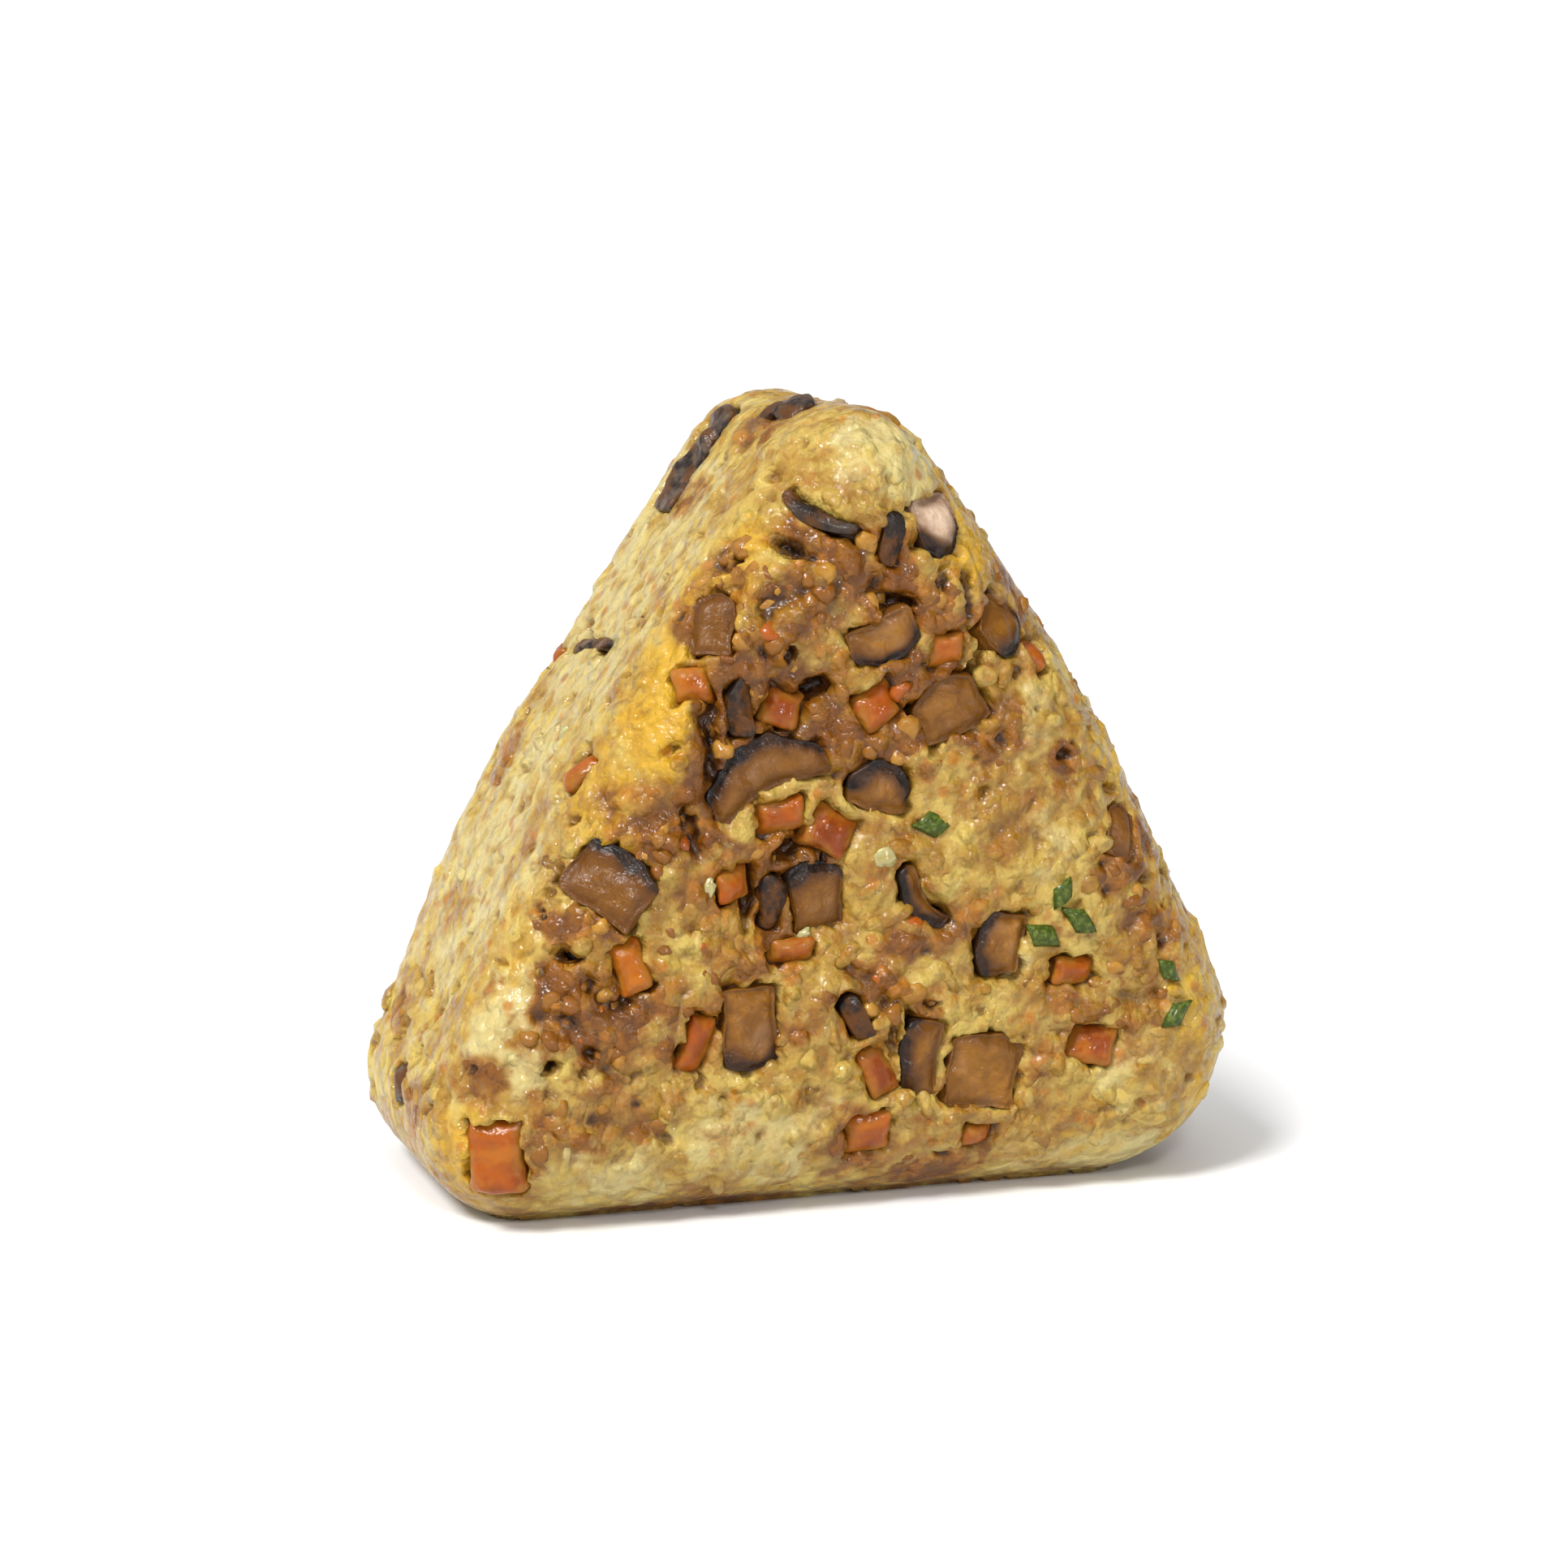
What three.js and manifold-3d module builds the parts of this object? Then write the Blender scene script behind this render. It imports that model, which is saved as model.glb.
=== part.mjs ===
// A triangular rice ball of seasoned short-grain rice, standing on one of its three narrow sides.
// Slices of brown mushroom and dice of carrot are pressed into the rice, and show at its surface.
// Millimetres, +Z up. The origin is the middle of the flat foot, and the broad front face looks along -Y.
import * as THREE from "three";
import Module from "manifold-3d";
import { mergeVertices } from "three/addons/utils/BufferGeometryUtils.js";

const wasm = await Module();
wasm.setup();

// The block of rice
const width = 80;
const height = 74.2;
const thickness = 36;
const footLeftRadius = 9.3;
const footRightRadius = 14;
const topRadius = 9.2;
const sideBow = 2.2; // how far the two slanting sides swell between their corners
const edgeRadius = 8.5; // where the broad faces turn into the narrow sides
const faceCrown = 1.4; // how far the middle of a broad face stands out
const crownReach = 14;
const footFlat = 0.5; // whatever lies lower than this is pressed flat on the table

// The surface of the rice
const unevenness = { height: 0.55, size: 17 };
const bumps = { height: 0.75, size: 3.1 };
const grain = { length: 5.4, width: 2.7, height: 2.3, sunk: 0.1 };
const grainCount = 78;
const grainSpacing = 8.6;
const crumb = { radius: 1.5, sunk: 0.3 };
const chive = { width: 2, length: 2.6, height: 1.4 };
const fitGap = 0.3; // between a topping and the pocket that it sits in
const seed = 20;

// Broad dents and swellings of the front face: place across and up, reach, and height above the face
const relief = [
  { x: -9, z: 47, reach: 7, height: -1.7 },
  { x: -8, z: 32, reach: 5, height: -1.3 },
  { x: -1, z: 70, reach: 5.5, height: 1.3 },
  { x: -33, z: 18, reach: 5, height: 1.1 },
  { x: 6, z: 57, reach: 4, height: 0.7 },
  { x: -19, z: 46, reach: 4.5, height: 0.9 },
];

// Pits where the rice has parted beside a topping: place on the front, half sizes across, up and deep
const pits = [
  { x: -15.6, z: 45.5, across: 1.3, up: 3.6, deep: 3 },
  { x: -5.4, z: 49.6, across: 1.9, up: 1.5, deep: 3.2 },
  { x: 1.4, z: 57.6, across: 2.4, up: 1.1, deep: 3 },
  { x: -7.6, z: 35.4, across: 1.5, up: 1.7, deep: 2.6 },
  { x: -28.4, z: 26.2, across: 1.4, up: 0.9, deep: 2.2 },
];

// Toppings. A mushroom slice is as wide as it is long in "size" [across, up, into the rice], has its dark cap
// side up before it is turned, an arch in that side, and may be hollow under it. A carrot die has a skew.
// "at" is measured on its side of the block: across and up on the front and back, and
// along the slope from the foot corner and across the thickness (front to back) on the two slanting sides.
const toppings = [
  { name: "mushroom_front_01", side: "front", at: [-10.4, 42.4], size: [11.6, 6.2, 3.4], arch: 3, hollow: 1.4, turn: 24 },
  { name: "mushroom_front_02", side: "front", at: [1, 40.7], size: [6.2, 4.6, 3], arch: 2.2, hollow: 0, turn: -14 },
  { name: "mushroom_front_03", side: "front", at: [-24.7, 32.9], size: [7.4, 5.8, 4.2], arch: 0.8, hollow: 0, turn: -32 },
  { name: "mushroom_front_04", side: "front", at: [-11.3, 18.6], size: [5, 7.8, 3.4], arch: 0.6, hollow: 0, turn: 184 },
  { name: "mushroom_front_05", side: "front", at: [5.3, 14.7], size: [7.4, 4, 3.8], arch: 0.8, hollow: 0.5, turn: 86 },
  { name: "mushroom_front_06", side: "front", at: [11.8, 13.1], size: [7.2, 7, 3.2], arch: 0.7, hollow: 0, turn: -10 },
  { name: "mushroom_front_07", side: "front", at: [6.2, 64.2], size: [5.2, 5.6, 4], arch: 1.8, hollow: 0, turn: 190 },
  { name: "mushroom_front_08", side: "front", at: [1.1, 63.6], size: [1.9, 4.4, 2.6], arch: 0.5, hollow: 0, turn: -8 },
  { name: "mushroom_front_09", side: "front", at: [-5.2, 65.2], size: [7.4, 1.9, 2.4], arch: 0.8, hollow: 0.6, turn: 152 },
  { name: "mushroom_front_10", side: "front", at: [1, 54], size: [6.4, 4.2, 3.4], arch: 0.9, hollow: 0, turn: 206 },
  { name: "mushroom_front_11", side: "front", at: [5, 29.7], size: [6.8, 3.2, 3], arch: 1.5, hollow: 0.9, turn: 128 },
  { name: "mushroom_front_12", side: "front", at: [12.9, 25.2], size: [6, 4.8, 3], arch: 1, hollow: 0, turn: 82 },
  { name: "mushroom_front_13", side: "front", at: [-4.8, 30.5], size: [5, 6.4, 3], arch: 1, hollow: 0, turn: 6 },
  { name: "mushroom_front_14", side: "front", at: [-9.2, 30.2], size: [1.8, 5.2, 2.4], arch: 0.5, hollow: 0, turn: -10 },
  { name: "mushroom_front_15", side: "front", at: [-1.5, 19.4], size: [2.2, 4.2, 2.4], arch: 0.5, hollow: 0, turn: 22 },
  { name: "mushroom_front_16", side: "front", at: [-12.9, 48.2], size: [2.3, 5, 2.8], arch: 0.5, hollow: 0, turn: 12 },
  { name: "mushroom_front_17", side: "front", at: [7.4, 47.8], size: [6.8, 5.4, 3], arch: 1, hollow: 0, turn: 28 },
  { name: "mushroom_front_18", side: "front", at: [13, 54.9], size: [4.6, 5.2, 3.2], arch: 0.9, hollow: 0, turn: -130 },
  { name: "mushroom_front_19", side: "front", at: [25.6, 35.2], size: [3, 5, 2.6], arch: 0.7, hollow: 0, turn: -22 },
  { name: "mushroom_front_20", side: "front", at: [-14.6, 55.6], size: [3.8, 5.8, 2.6], arch: 0.8, hollow: 0, turn: 8 },
  { name: "mushroom_left_01", side: "left", at: [62.4, 7.4], size: [5, 12, 3], arch: 0.8, hollow: 0, turn: 4 },
  { name: "mushroom_left_02", side: "left", at: [41.6, 3.6], size: [9.5, 1.5, 2.4], arch: 0.9, hollow: 0.8, turn: 12 },
  { name: "mushroom_left_03", side: "left", at: [-3, -1.4], size: [2.6, 3.6, 2.4], arch: 0.5, hollow: 0, turn: 20 },
  { name: "mushroom_left_04", side: "left", at: [70, -2.5], size: [7, 4, 2.8], arch: 1, hollow: 0, turn: 12 },
  { name: "mushroom_right_01", side: "right", at: [44, 4], size: [8.4, 5, 3.2], arch: 1.8, hollow: 0.7, turn: 36 },
  { name: "mushroom_right_02", side: "right", at: [18, -5], size: [6, 5.4, 3], arch: 1.2, hollow: 0, turn: -48 },
  { name: "mushroom_back_01", side: "back", at: [-8, 40], size: [11, 6, 3.2], arch: 2.6, hollow: 1.2, turn: -30 },
  { name: "mushroom_back_02", side: "back", at: [12, 27], size: [6.4, 7.2, 3], arch: 1.2, hollow: 0, turn: 64 },
  { name: "mushroom_back_03", side: "back", at: [-21, 17], size: [7.6, 5, 3], arch: 1.6, hollow: 0.6, turn: 140 },
  { name: "mushroom_back_04", side: "back", at: [2, 57], size: [5.6, 6, 3], arch: 1.1, hollow: 0, turn: -75 },
  { name: "mushroom_back_05", side: "back", at: [20, 10.5], size: [6.6, 4.6, 3], arch: 1.4, hollow: 0, turn: 15 },
  { name: "carrot_front_01", side: "front", at: [-8.7, 38.1], size: [4.4, 2.8, 3], skew: 0.9, turn: 16 },
  { name: "carrot_front_02", side: "front", at: [-3.7, 36.5], size: [4.1, 4, 3.4], skew: 0.5, turn: -24 },
  { name: "carrot_front_03", side: "front", at: [-17, 50.3], size: [3, 2.7, 2.6], skew: 0.3, turn: 20 },
  { name: "carrot_front_04", side: "front", at: [-22.9, 24.8], size: [2.8, 4.4, 2.8], skew: 0.5, turn: 24 },
  { name: "carrot_front_05", side: "front", at: [-16.5, 17.5], size: [2.6, 5, 2.8], skew: 0.6, turn: -12 },
  { name: "carrot_front_06", side: "front", at: [1.1, 13.8], size: [2.8, 4.4, 2.8], skew: 0.5, turn: 26 },
  { name: "carrot_front_07", side: "front", at: [20.7, 22.2], size: [4.2, 2.4, 2.4], skew: 0.3, turn: -4 },
  { name: "carrot_front_08", side: "front", at: [22.8, 14.9], size: [4.4, 3.3, 2.6], skew: 0.7, turn: -8 },
  { name: "carrot_front_09", side: "front", at: [-35.2, 7.6], size: [4.8, 6.6, 3], skew: 0.6, turn: 6 },
  { name: "carrot_front_10", side: "front", at: [6.9, 53.1], size: [3.2, 3, 2.6], skew: 0.4, turn: 10 },
  { name: "carrot_front_11", side: "front", at: [-8.4, 47.9], size: [3.4, 3.2, 2.6], skew: 0.5, turn: -14 },
  { name: "carrot_front_12", side: "front", at: [17.2, 52.4], size: [2.6, 3, 2.4], skew: 0.3, turn: 30 },
  { name: "carrot_front_13", side: "front", at: [-12.9, 31.9], size: [3.1, 2.6, 2.4], skew: 0.5, turn: 18 },
  { name: "carrot_front_14", side: "front", at: [-7.4, 25.5], size: [4, 2, 2.4], skew: 0.3, turn: 4 },
  { name: "carrot_front_15", side: "front", at: [0.4, 48], size: [3.8, 3.4, 2.6], skew: 0.6, turn: 34 },
  { name: "carrot_front_16", side: "front", at: [0.5, 7.6], size: [4.4, 4, 2.6], skew: 0.4, turn: 10 },
  { name: "carrot_front_17", side: "front", at: [12, 6.4], size: [3, 2.3, 2.4], skew: 0.3, turn: 0 },
  { name: "carrot_left_01", side: "left", at: [39.2, 11.6], size: [2.8, 2.4, 2.2], skew: 0.3, turn: 0 },
  { name: "carrot_left_02", side: "left", at: [31, -10.6], size: [2.6, 4, 2.2], skew: 0.5, turn: -16 },
  { name: "carrot_right_01", side: "right", at: [31, -1], size: [4.4, 3.6, 2.8], skew: 0.5, turn: 20 },
  { name: "carrot_right_02", side: "right", at: [55, -4], size: [3.6, 4, 2.6], skew: 0.5, turn: -25 },
  { name: "carrot_back_01", side: "back", at: [-18, 29], size: [4.6, 4, 3], skew: 0.6, turn: 14 },
  { name: "carrot_back_02", side: "back", at: [8, 45], size: [4.2, 3.4, 2.8], skew: 0.5, turn: -33 },
  { name: "carrot_back_03", side: "back", at: [-4, 13], size: [3.6, 5, 2.8], skew: 0.6, turn: 40 },
  { name: "carrot_back_04", side: "back", at: [24, 21], size: [4, 3.2, 2.6], skew: 0.4, turn: -8 },
];

// Snips of chive and crumbs of seasoned mince that are stuck to the rice
const chives = [
  { side: "front", at: [5.8, 36.9], turn: 20 },
  { side: "front", at: [18.8, 29.9], turn: 8 },
  { side: "front", at: [20.6, 27.2], turn: 30 },
  { side: "front", at: [17, 25.9], turn: -8 },
  { side: "front", at: [30.6, 21.6], turn: 12 },
  { side: "back", at: [-12, 22], turn: 50 },
  { side: "back", at: [-13.5, 50], turn: -20 },
  { side: "right", at: [38, 9], turn: 15 },
];
const crumbBands = [
  { side: "front", low: [-31, 8], high: [-24, 24], count: 4 },
  { side: "front", low: [-16, 51], high: [-1, 61], count: 6 },
  { side: "front", low: [-20, 22], high: [-12, 39], count: 4 },
  { side: "front", low: [17, 17], high: [30, 34], count: 4 },
  { side: "back", low: [-24, 8], high: [22, 50], count: 7 },
];

// A seeded draw from 0 to 1
function drawFrom(start) {
  let state = start >>> 0;
  return () => {
    state = (state + 0x6d2b79f5) >>> 0;
    let t = Math.imul(state ^ (state >>> 15), 1 | state);
    t = (t + Math.imul(t ^ (t >>> 7), 61 | t)) ^ t;
    return ((t ^ (t >>> 14)) >>> 0) / 4294967296;
  };
}

// Smooth noise between -1 and 1 over space
function latticeValue(i, j, k) {
  let h = Math.imul(i, 374761393) ^ Math.imul(j, 668265263) ^ Math.imul(k, 2147483647) ^ Math.imul(seed, 974711);
  h = Math.imul(h ^ (h >>> 13), 1274126177);
  return (((h ^ (h >>> 16)) >>> 0) / 4294967296) * 2 - 1;
}

function noise(point, size) {
  const [x, y, z] = [point.x / size, point.y / size, point.z / size];
  const [i, j, k] = [Math.floor(x), Math.floor(y), Math.floor(z)];
  const ease = (t) => t * t * (3 - 2 * t);
  const [u, v, w] = [ease(x - i), ease(y - j), ease(z - k)];
  let sum = 0;
  for (const a of [0, 1])
    for (const b of [0, 1])
      for (const c of [0, 1])
        sum += latticeValue(i + a, j + b, k + c) * (a ? u : 1 - u) * (b ? v : 1 - v) * (c ? w : 1 - w);
  return sum;
}

// The outline of the broad faces: three round corners, in order round the block
const corners = [
  { x: -width / 2 + footLeftRadius, z: footLeftRadius, r: footLeftRadius },
  { x: width / 2 - footRightRadius, z: footRightRadius, r: footRightRadius },
  { x: 0, z: height - topRadius, r: topRadius },
];
const bows = [0, sideBow, sideBow];

// The unit normal of the straight line that touches two corner circles on the outside
function sideNormal(a, b) {
  const [dx, dz] = [b.x - a.x, b.z - a.z];
  const length = Math.hypot(dx, dz);
  const slant = (a.r - b.r) / length;
  const flat = Math.sqrt(1 - slant * slant);
  return { x: (dz / length) * flat + (dx / length) * slant, z: (-dx / length) * flat + (dz / length) * slant };
}
const normals = corners.map((c, i) => sideNormal(c, corners[(i + 1) % 3]));

function outlinePoints(arcSteps, sideSteps) {
  const points = [];
  corners.forEach((c, i) => {
    const before = normals[(i + 2) % 3];
    const after = normals[i];
    const start = Math.atan2(before.z, before.x);
    let sweep = Math.atan2(after.z, after.x) - start;
    if (sweep < 0) sweep += 2 * Math.PI;
    for (let s = 0; s <= arcSteps; s++) {
      const angle = start + (sweep * s) / arcSteps;
      points.push({ x: c.x + c.r * Math.cos(angle), z: c.z + c.r * Math.sin(angle) });
    }
    const next = corners[(i + 1) % 3];
    for (let s = 1; s < sideSteps; s++) {
      const t = s / sideSteps;
      const out = c.r + (next.r - c.r) * t + bows[i] * 4 * t * (1 - t);
      points.push({ x: c.x + (next.x - c.x) * t + after.x * out, z: c.z + (next.z - c.z) * t + after.z * out });
    }
  });
  return points;
}
const outline = outlinePoints(10, 12);

// How far a point of the X-Z plane lies outside the outline, negative inside
function outlineDistance(x, z) {
  let nearest = Infinity;
  let inside = false;
  outline.forEach((a, i) => {
    const b = outline[(i + 1) % outline.length];
    const [ex, ez, px, pz] = [b.x - a.x, b.z - a.z, x - a.x, z - a.z];
    const t = Math.min(1, Math.max(0, (px * ex + pz * ez) / (ex * ex + ez * ez)));
    nearest = Math.min(nearest, Math.hypot(px - ex * t, pz - ez * t));
    if (a.z > z !== b.z > z && x < ((b.x - a.x) * (z - a.z)) / (b.z - a.z) + a.x) inside = !inside;
  });
  return inside ? -nearest : nearest;
}

// How far a point lies outside the smooth block, negative inside
function blockDistance(p) {
  const out = outlineDistance(p.x, p.z);
  const share = Math.min(1, Math.max(0, -out / crownReach));
  const half = thickness / 2 + faceCrown * (1 - (1 - share) ** 2);
  const d = out + edgeRadius;
  const e = Math.abs(p.y) - half + edgeRadius;
  return Math.min(Math.max(d, e), 0) + Math.hypot(Math.max(d, 0), Math.max(e, 0)) - edgeRadius;
}

function blockNormal(p) {
  const step = 0.02;
  const slope = (axis) => {
    const more = p.clone();
    const less = p.clone();
    more[axis] += step;
    less[axis] -= step;
    return blockDistance(more) - blockDistance(less);
  };
  return new THREE.Vector3(slope("x"), slope("y"), slope("z")).normalize();
}

function ontoBlock(p) {
  const found = p.clone();
  for (let turn = 0; turn < 6; turn++) found.addScaledVector(blockNormal(found), -blockDistance(found));
  return found;
}

// How far the rice stands above the smooth block at a point of it, without its grain-sized bumps
function swelling(p, normal) {
  let rise = unevenness.height * noise(p, unevenness.size);
  for (const r of relief) {
    const away = Math.hypot(p.x - r.x, p.z - r.z) / r.reach;
    rise += Math.max(0, -normal.y) * r.height * Math.exp(-away * away);
  }
  return rise;
}

// A place on one side of the block: the point on the rice, and the way the block faces there
const farOut = 60;
function place(side, [a, b]) {
  const start = new THREE.Vector3();
  const inward = new THREE.Vector3();
  if (side === "front" || side === "back") {
    const sign = side === "front" ? -1 : 1;
    start.set(a, sign * farOut, b);
    inward.set(0, -sign, 0);
  } else {
    const foot = corners[side === "left" ? 0 : 1];
    const top = corners[2];
    const along = new THREE.Vector3(top.x - foot.x, 0, top.z - foot.z).normalize();
    const out = normals[side === "left" ? 2 : 1];
    start.set(foot.x, b, foot.z).addScaledVector(along, a).addScaledVector(new THREE.Vector3(out.x, 0, out.z), farOut);
    inward.set(-out.x, 0, -out.z);
  }
  for (let step = 0; step < 200 && blockDistance(start) > 1e-3; step++) start.addScaledVector(inward, blockDistance(start) * 0.9);
  const point = ontoBlock(start);
  const normal = blockNormal(point);
  return { point: point.addScaledVector(normal, swelling(point, normal)), normal };
}

// The turn that lays a piece on the surface: its Z along the normal, its Y as near upwards as it can be
function layOn(normal, turn) {
  const up = new THREE.Vector3(0, 0, 1);
  const y = up.addScaledVector(normal, -up.dot(normal)).normalize();
  const x = new THREE.Vector3().crossVectors(y, normal);
  const basis = new THREE.Matrix4().makeBasis(x, y, normal);
  return basis.multiply(new THREE.Matrix4().makeRotationZ(THREE.MathUtils.degToRad(turn)));
}

// A closed mesh as a solid that can be joined and cut, and back
function solidOf(geometry, matrix) {
  const bare = (geometry.index ? geometry.toNonIndexed() : geometry.clone()).applyMatrix4(matrix);
  bare.deleteAttribute("normal");
  bare.deleteAttribute("uv");
  const merged = mergeVertices(bare, 1e-3);
  const triVerts = new Uint32Array(merged.index.array);
  return new wasm.Manifold(new wasm.Mesh({ numProp: 3, vertProperties: merged.attributes.position.array, triVerts }));
}

function geometryOf(solid) {
  const mesh = solid.getMesh();
  const geometry = new THREE.BufferGeometry();
  geometry.setAttribute("position", new THREE.BufferAttribute(mesh.vertProperties, 3));
  geometry.setIndex(new THREE.BufferAttribute(mesh.triVerts, 1));
  return geometry;
}

// The bare block: an even grid over a sharp three-sided prism, drawn onto the rounded block and made uneven
function bareBlock() {
  const across = 25;
  const deep = 9;
  const sharp = corners.map((c, i) => {
    const [a, b] = [normals[(i + 2) % 3], normals[i]];
    const reach = c.r / (1 + a.x * b.x + a.z * b.z);
    return new THREE.Vector2(c.x + (a.x + b.x) * reach, c.z + (a.z + b.z) * reach);
  });
  const positions = [];
  const quad = (a, b, c, d) => positions.push(a, b, c, a, c, d);
  const onFace = (i, j, y) => {
    const at = sharp[0].clone();
    at.addScaledVector(sharp[1].clone().sub(sharp[0]), i / across);
    at.addScaledVector(sharp[2].clone().sub(sharp[0]), j / across);
    return new THREE.Vector3(at.x, y, at.y);
  };
  for (let i = 0; i < across; i++)
    for (let j = 0; j + i < across; j++)
      for (const y of [-thickness / 2, thickness / 2]) {
        const lower = [onFace(i, j, y), onFace(i + 1, j, y), onFace(i, j + 1, y)];
        positions.push(...(y < 0 ? lower : lower.reverse()));
        if (i + j + 2 > across) continue;
        const upper = [onFace(i + 1, j, y), onFace(i + 1, j + 1, y), onFace(i, j + 1, y)];
        positions.push(...(y < 0 ? upper : upper.reverse()));
      }
  sharp.forEach((a, side) => {
    const b = sharp[(side + 1) % 3];
    const onSide = (s, t) => new THREE.Vector3(
      a.x + ((b.x - a.x) * s) / across,
      thickness * (t / deep - 0.5),
      a.y + ((b.y - a.y) * s) / across,
    );
    for (let s = 0; s < across; s++)
      for (let t = 0; t < deep; t++) quad(onSide(s, t), onSide(s, t + 1), onSide(s + 1, t + 1), onSide(s + 1, t));
  });
  const drawn = new Map();
  const flat = positions.flatMap((p) => {
    const key = [p.x, p.y, p.z].map((v) => v.toFixed(3)).join();
    if (!drawn.has(key)) {
      const point = ontoBlock(p);
      const normal = blockNormal(point);
      const rise = swelling(point, normal) + bumps.height * noise(point, bumps.size);
      point.addScaledVector(normal, rise * Math.min(1, 1 + normal.z));
      if (point.z < footFlat) point.z = 0;
      drawn.set(key, point);
    }
    const q = drawn.get(key);
    return [q.x, q.y, q.z];
  });
  const geometry = new THREE.BufferGeometry();
  geometry.setAttribute("position", new THREE.Float32BufferAttribute(flat, 3));
  return geometry;
}

// The outline of a mushroom slice: an arched cap side above, a straight or hollow side below
function sliceOutline({ size: [w, h], arch, hollow }, grow) {
  const [right, top, foot] = [w / 2 + grow, h / 2 + grow, -h / 2 - grow];
  const shape = new THREE.Shape();
  shape.moveTo(-right, foot);
  if (hollow) shape.quadraticCurveTo(0, foot + 2 * hollow, right, foot);
  else shape.lineTo(right, foot);
  shape.lineTo(right, top - arch);
  shape.quadraticCurveTo(0, top + arch, -right, top - arch);
  shape.closePath();
  return shape;
}

// The outline of a carrot die: four corners, leaning over by its skew
function dieOutline({ size: [w, h], skew }, grow) {
  const [right, top] = [w / 2 + grow, h / 2 + grow];
  const shape = new THREE.Shape();
  shape.moveTo(-right - skew / 2, -top);
  shape.lineTo(right - skew / 4, -top - skew / 4);
  shape.lineTo(right + skew / 2, top);
  shape.lineTo(-right + skew / 3, top + skew / 4);
  shape.closePath();
  return shape;
}

// A topping's geometry, from its lowest point in the rice to its face just above the surface
const proud = 0.55;
const bevel = 0.35;
function toppingGeometry(topping) {
  const isSlice = "arch" in topping;
  const shape = isSlice ? sliceOutline(topping, -bevel) : dieOutline(topping, -bevel);
  const depth = topping.size[2];
  const geometry = new THREE.ExtrudeGeometry(shape, {
    depth: depth - 2 * bevel,
    curveSegments: 3,
    bevelThickness: bevel,
    bevelSize: bevel,
    bevelSegments: 1,
  });
  return geometry.translate(0, 0, proud - depth + bevel);
}

// The pocket that it sits in, open to the outside
const pocketTop = 6;
function pocketGeometry(topping) {
  const outlineOf = "arch" in topping ? sliceOutline : dieOutline;
  const depth = topping.size[2];
  const geometry = new THREE.ExtrudeGeometry(outlineOf(topping, fitGap), {
    depth: depth + pocketTop + fitGap,
    curveSegments: 3,
    bevelEnabled: false,
  });
  return geometry.translate(0, 0, proud - depth - fitGap);
}

const placed = toppings.map((topping) => {
  const { point, normal } = place(topping.side, topping.at);
  return { topping, point, matrix: layOn(normal, topping.turn).setPosition(point) };
});

// Whether a point is far enough from every topping for a loose piece of this reach
const clearOfToppings = (point, reach) =>
  placed.every((p) => p.point.distanceTo(point) > Math.hypot(p.topping.size[0], p.topping.size[1]) / 2 + reach);

// Even places all over the block, by throwing points and keeping those far from the ones before
function evenPlaces(draw) {
  const kept = [];
  for (let tries = 0; tries < 20000 && kept.length < grainCount; tries++) {
    const thrown = new THREE.Vector3(
      (draw() - 0.5) * (width + 10),
      (draw() - 0.5) * (thickness + 6),
      draw() * (height + 4),
    );
    if (Math.abs(blockDistance(thrown)) > 2) continue;
    const point = ontoBlock(thrown);
    const normal = blockNormal(point);
    if (point.z < grain.width || normal.z < -0.8) continue;
    if (kept.some((k) => k.point.distanceTo(point) < grainSpacing)) continue;
    if (!clearOfToppings(point, grain.width * 0.6)) continue;
    kept.push({ point: point.addScaledVector(normal, swelling(point, normal)), normal });
  }
  return kept;
}

function grains(draw) {
  const round = new THREE.SphereGeometry(0.5, 6, 3);
  return evenPlaces(draw).map(({ point, normal }) => {
    const scale = new THREE.Vector3(grain.width, grain.length, grain.height).multiplyScalar(0.85 + 0.3 * draw());
    const matrix = layOn(normal, draw() * 180).scale(scale).setPosition(point.addScaledVector(normal, -grain.sunk));
    return solidOf(round, matrix);
  });
}

function crumbs(draw) {
  const lump = new THREE.IcosahedronGeometry(crumb.radius, 0);
  return crumbBands.flatMap(({ side, low, high, count }) => {
    const made = [];
    for (let tries = 0; tries < 60 && made.length < count; tries++) {
      const at = low.map((v, i) => v + (high[i] - v) * draw());
      const { point, normal } = place(side, at);
      if (!clearOfToppings(point, crumb.radius * 0.8)) continue;
      const size = 0.7 + 0.6 * draw();
      const scale = new THREE.Vector3(size * 1.2, size, size * 0.8);
      const matrix = layOn(normal, draw() * 180).scale(scale).setPosition(point.addScaledVector(normal, -crumb.sunk));
      made.push(solidOf(lump, matrix));
    }
    return made;
  });
}

function chiveSnips() {
  const snip = new THREE.BoxGeometry(chive.width, chive.length, chive.height);
  return chives.map(({ side, at, turn }) => {
    const { point, normal } = place(side, at);
    return solidOf(snip, layOn(normal, turn).setPosition(point));
  });
}

function pitHollows() {
  const round = new THREE.SphereGeometry(1, 7, 5);
  return pits.map(({ x, z, across, up, deep }) => {
    const { point, normal } = place("front", [x, z]);
    return solidOf(round, layOn(normal, 0).scale(new THREE.Vector3(across, up, deep)).setPosition(point));
  });
}

function riceBall() {
  const draw = drawFrom(seed);
  let solid = solidOf(bareBlock(), new THREE.Matrix4());
  for (const piece of [...grains(draw), ...crumbs(draw), ...chiveSnips()]) solid = solid.add(piece);
  for (const hollow of pitHollows()) solid = solid.subtract(hollow);
  for (const { topping, matrix } of placed) solid = solid.subtract(solidOf(pocketGeometry(topping), matrix));
  const whole = solid.decompose().sort((a, b) => b.volume() - a.volume())[0];
  return geometryOf(whole);
}

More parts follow.
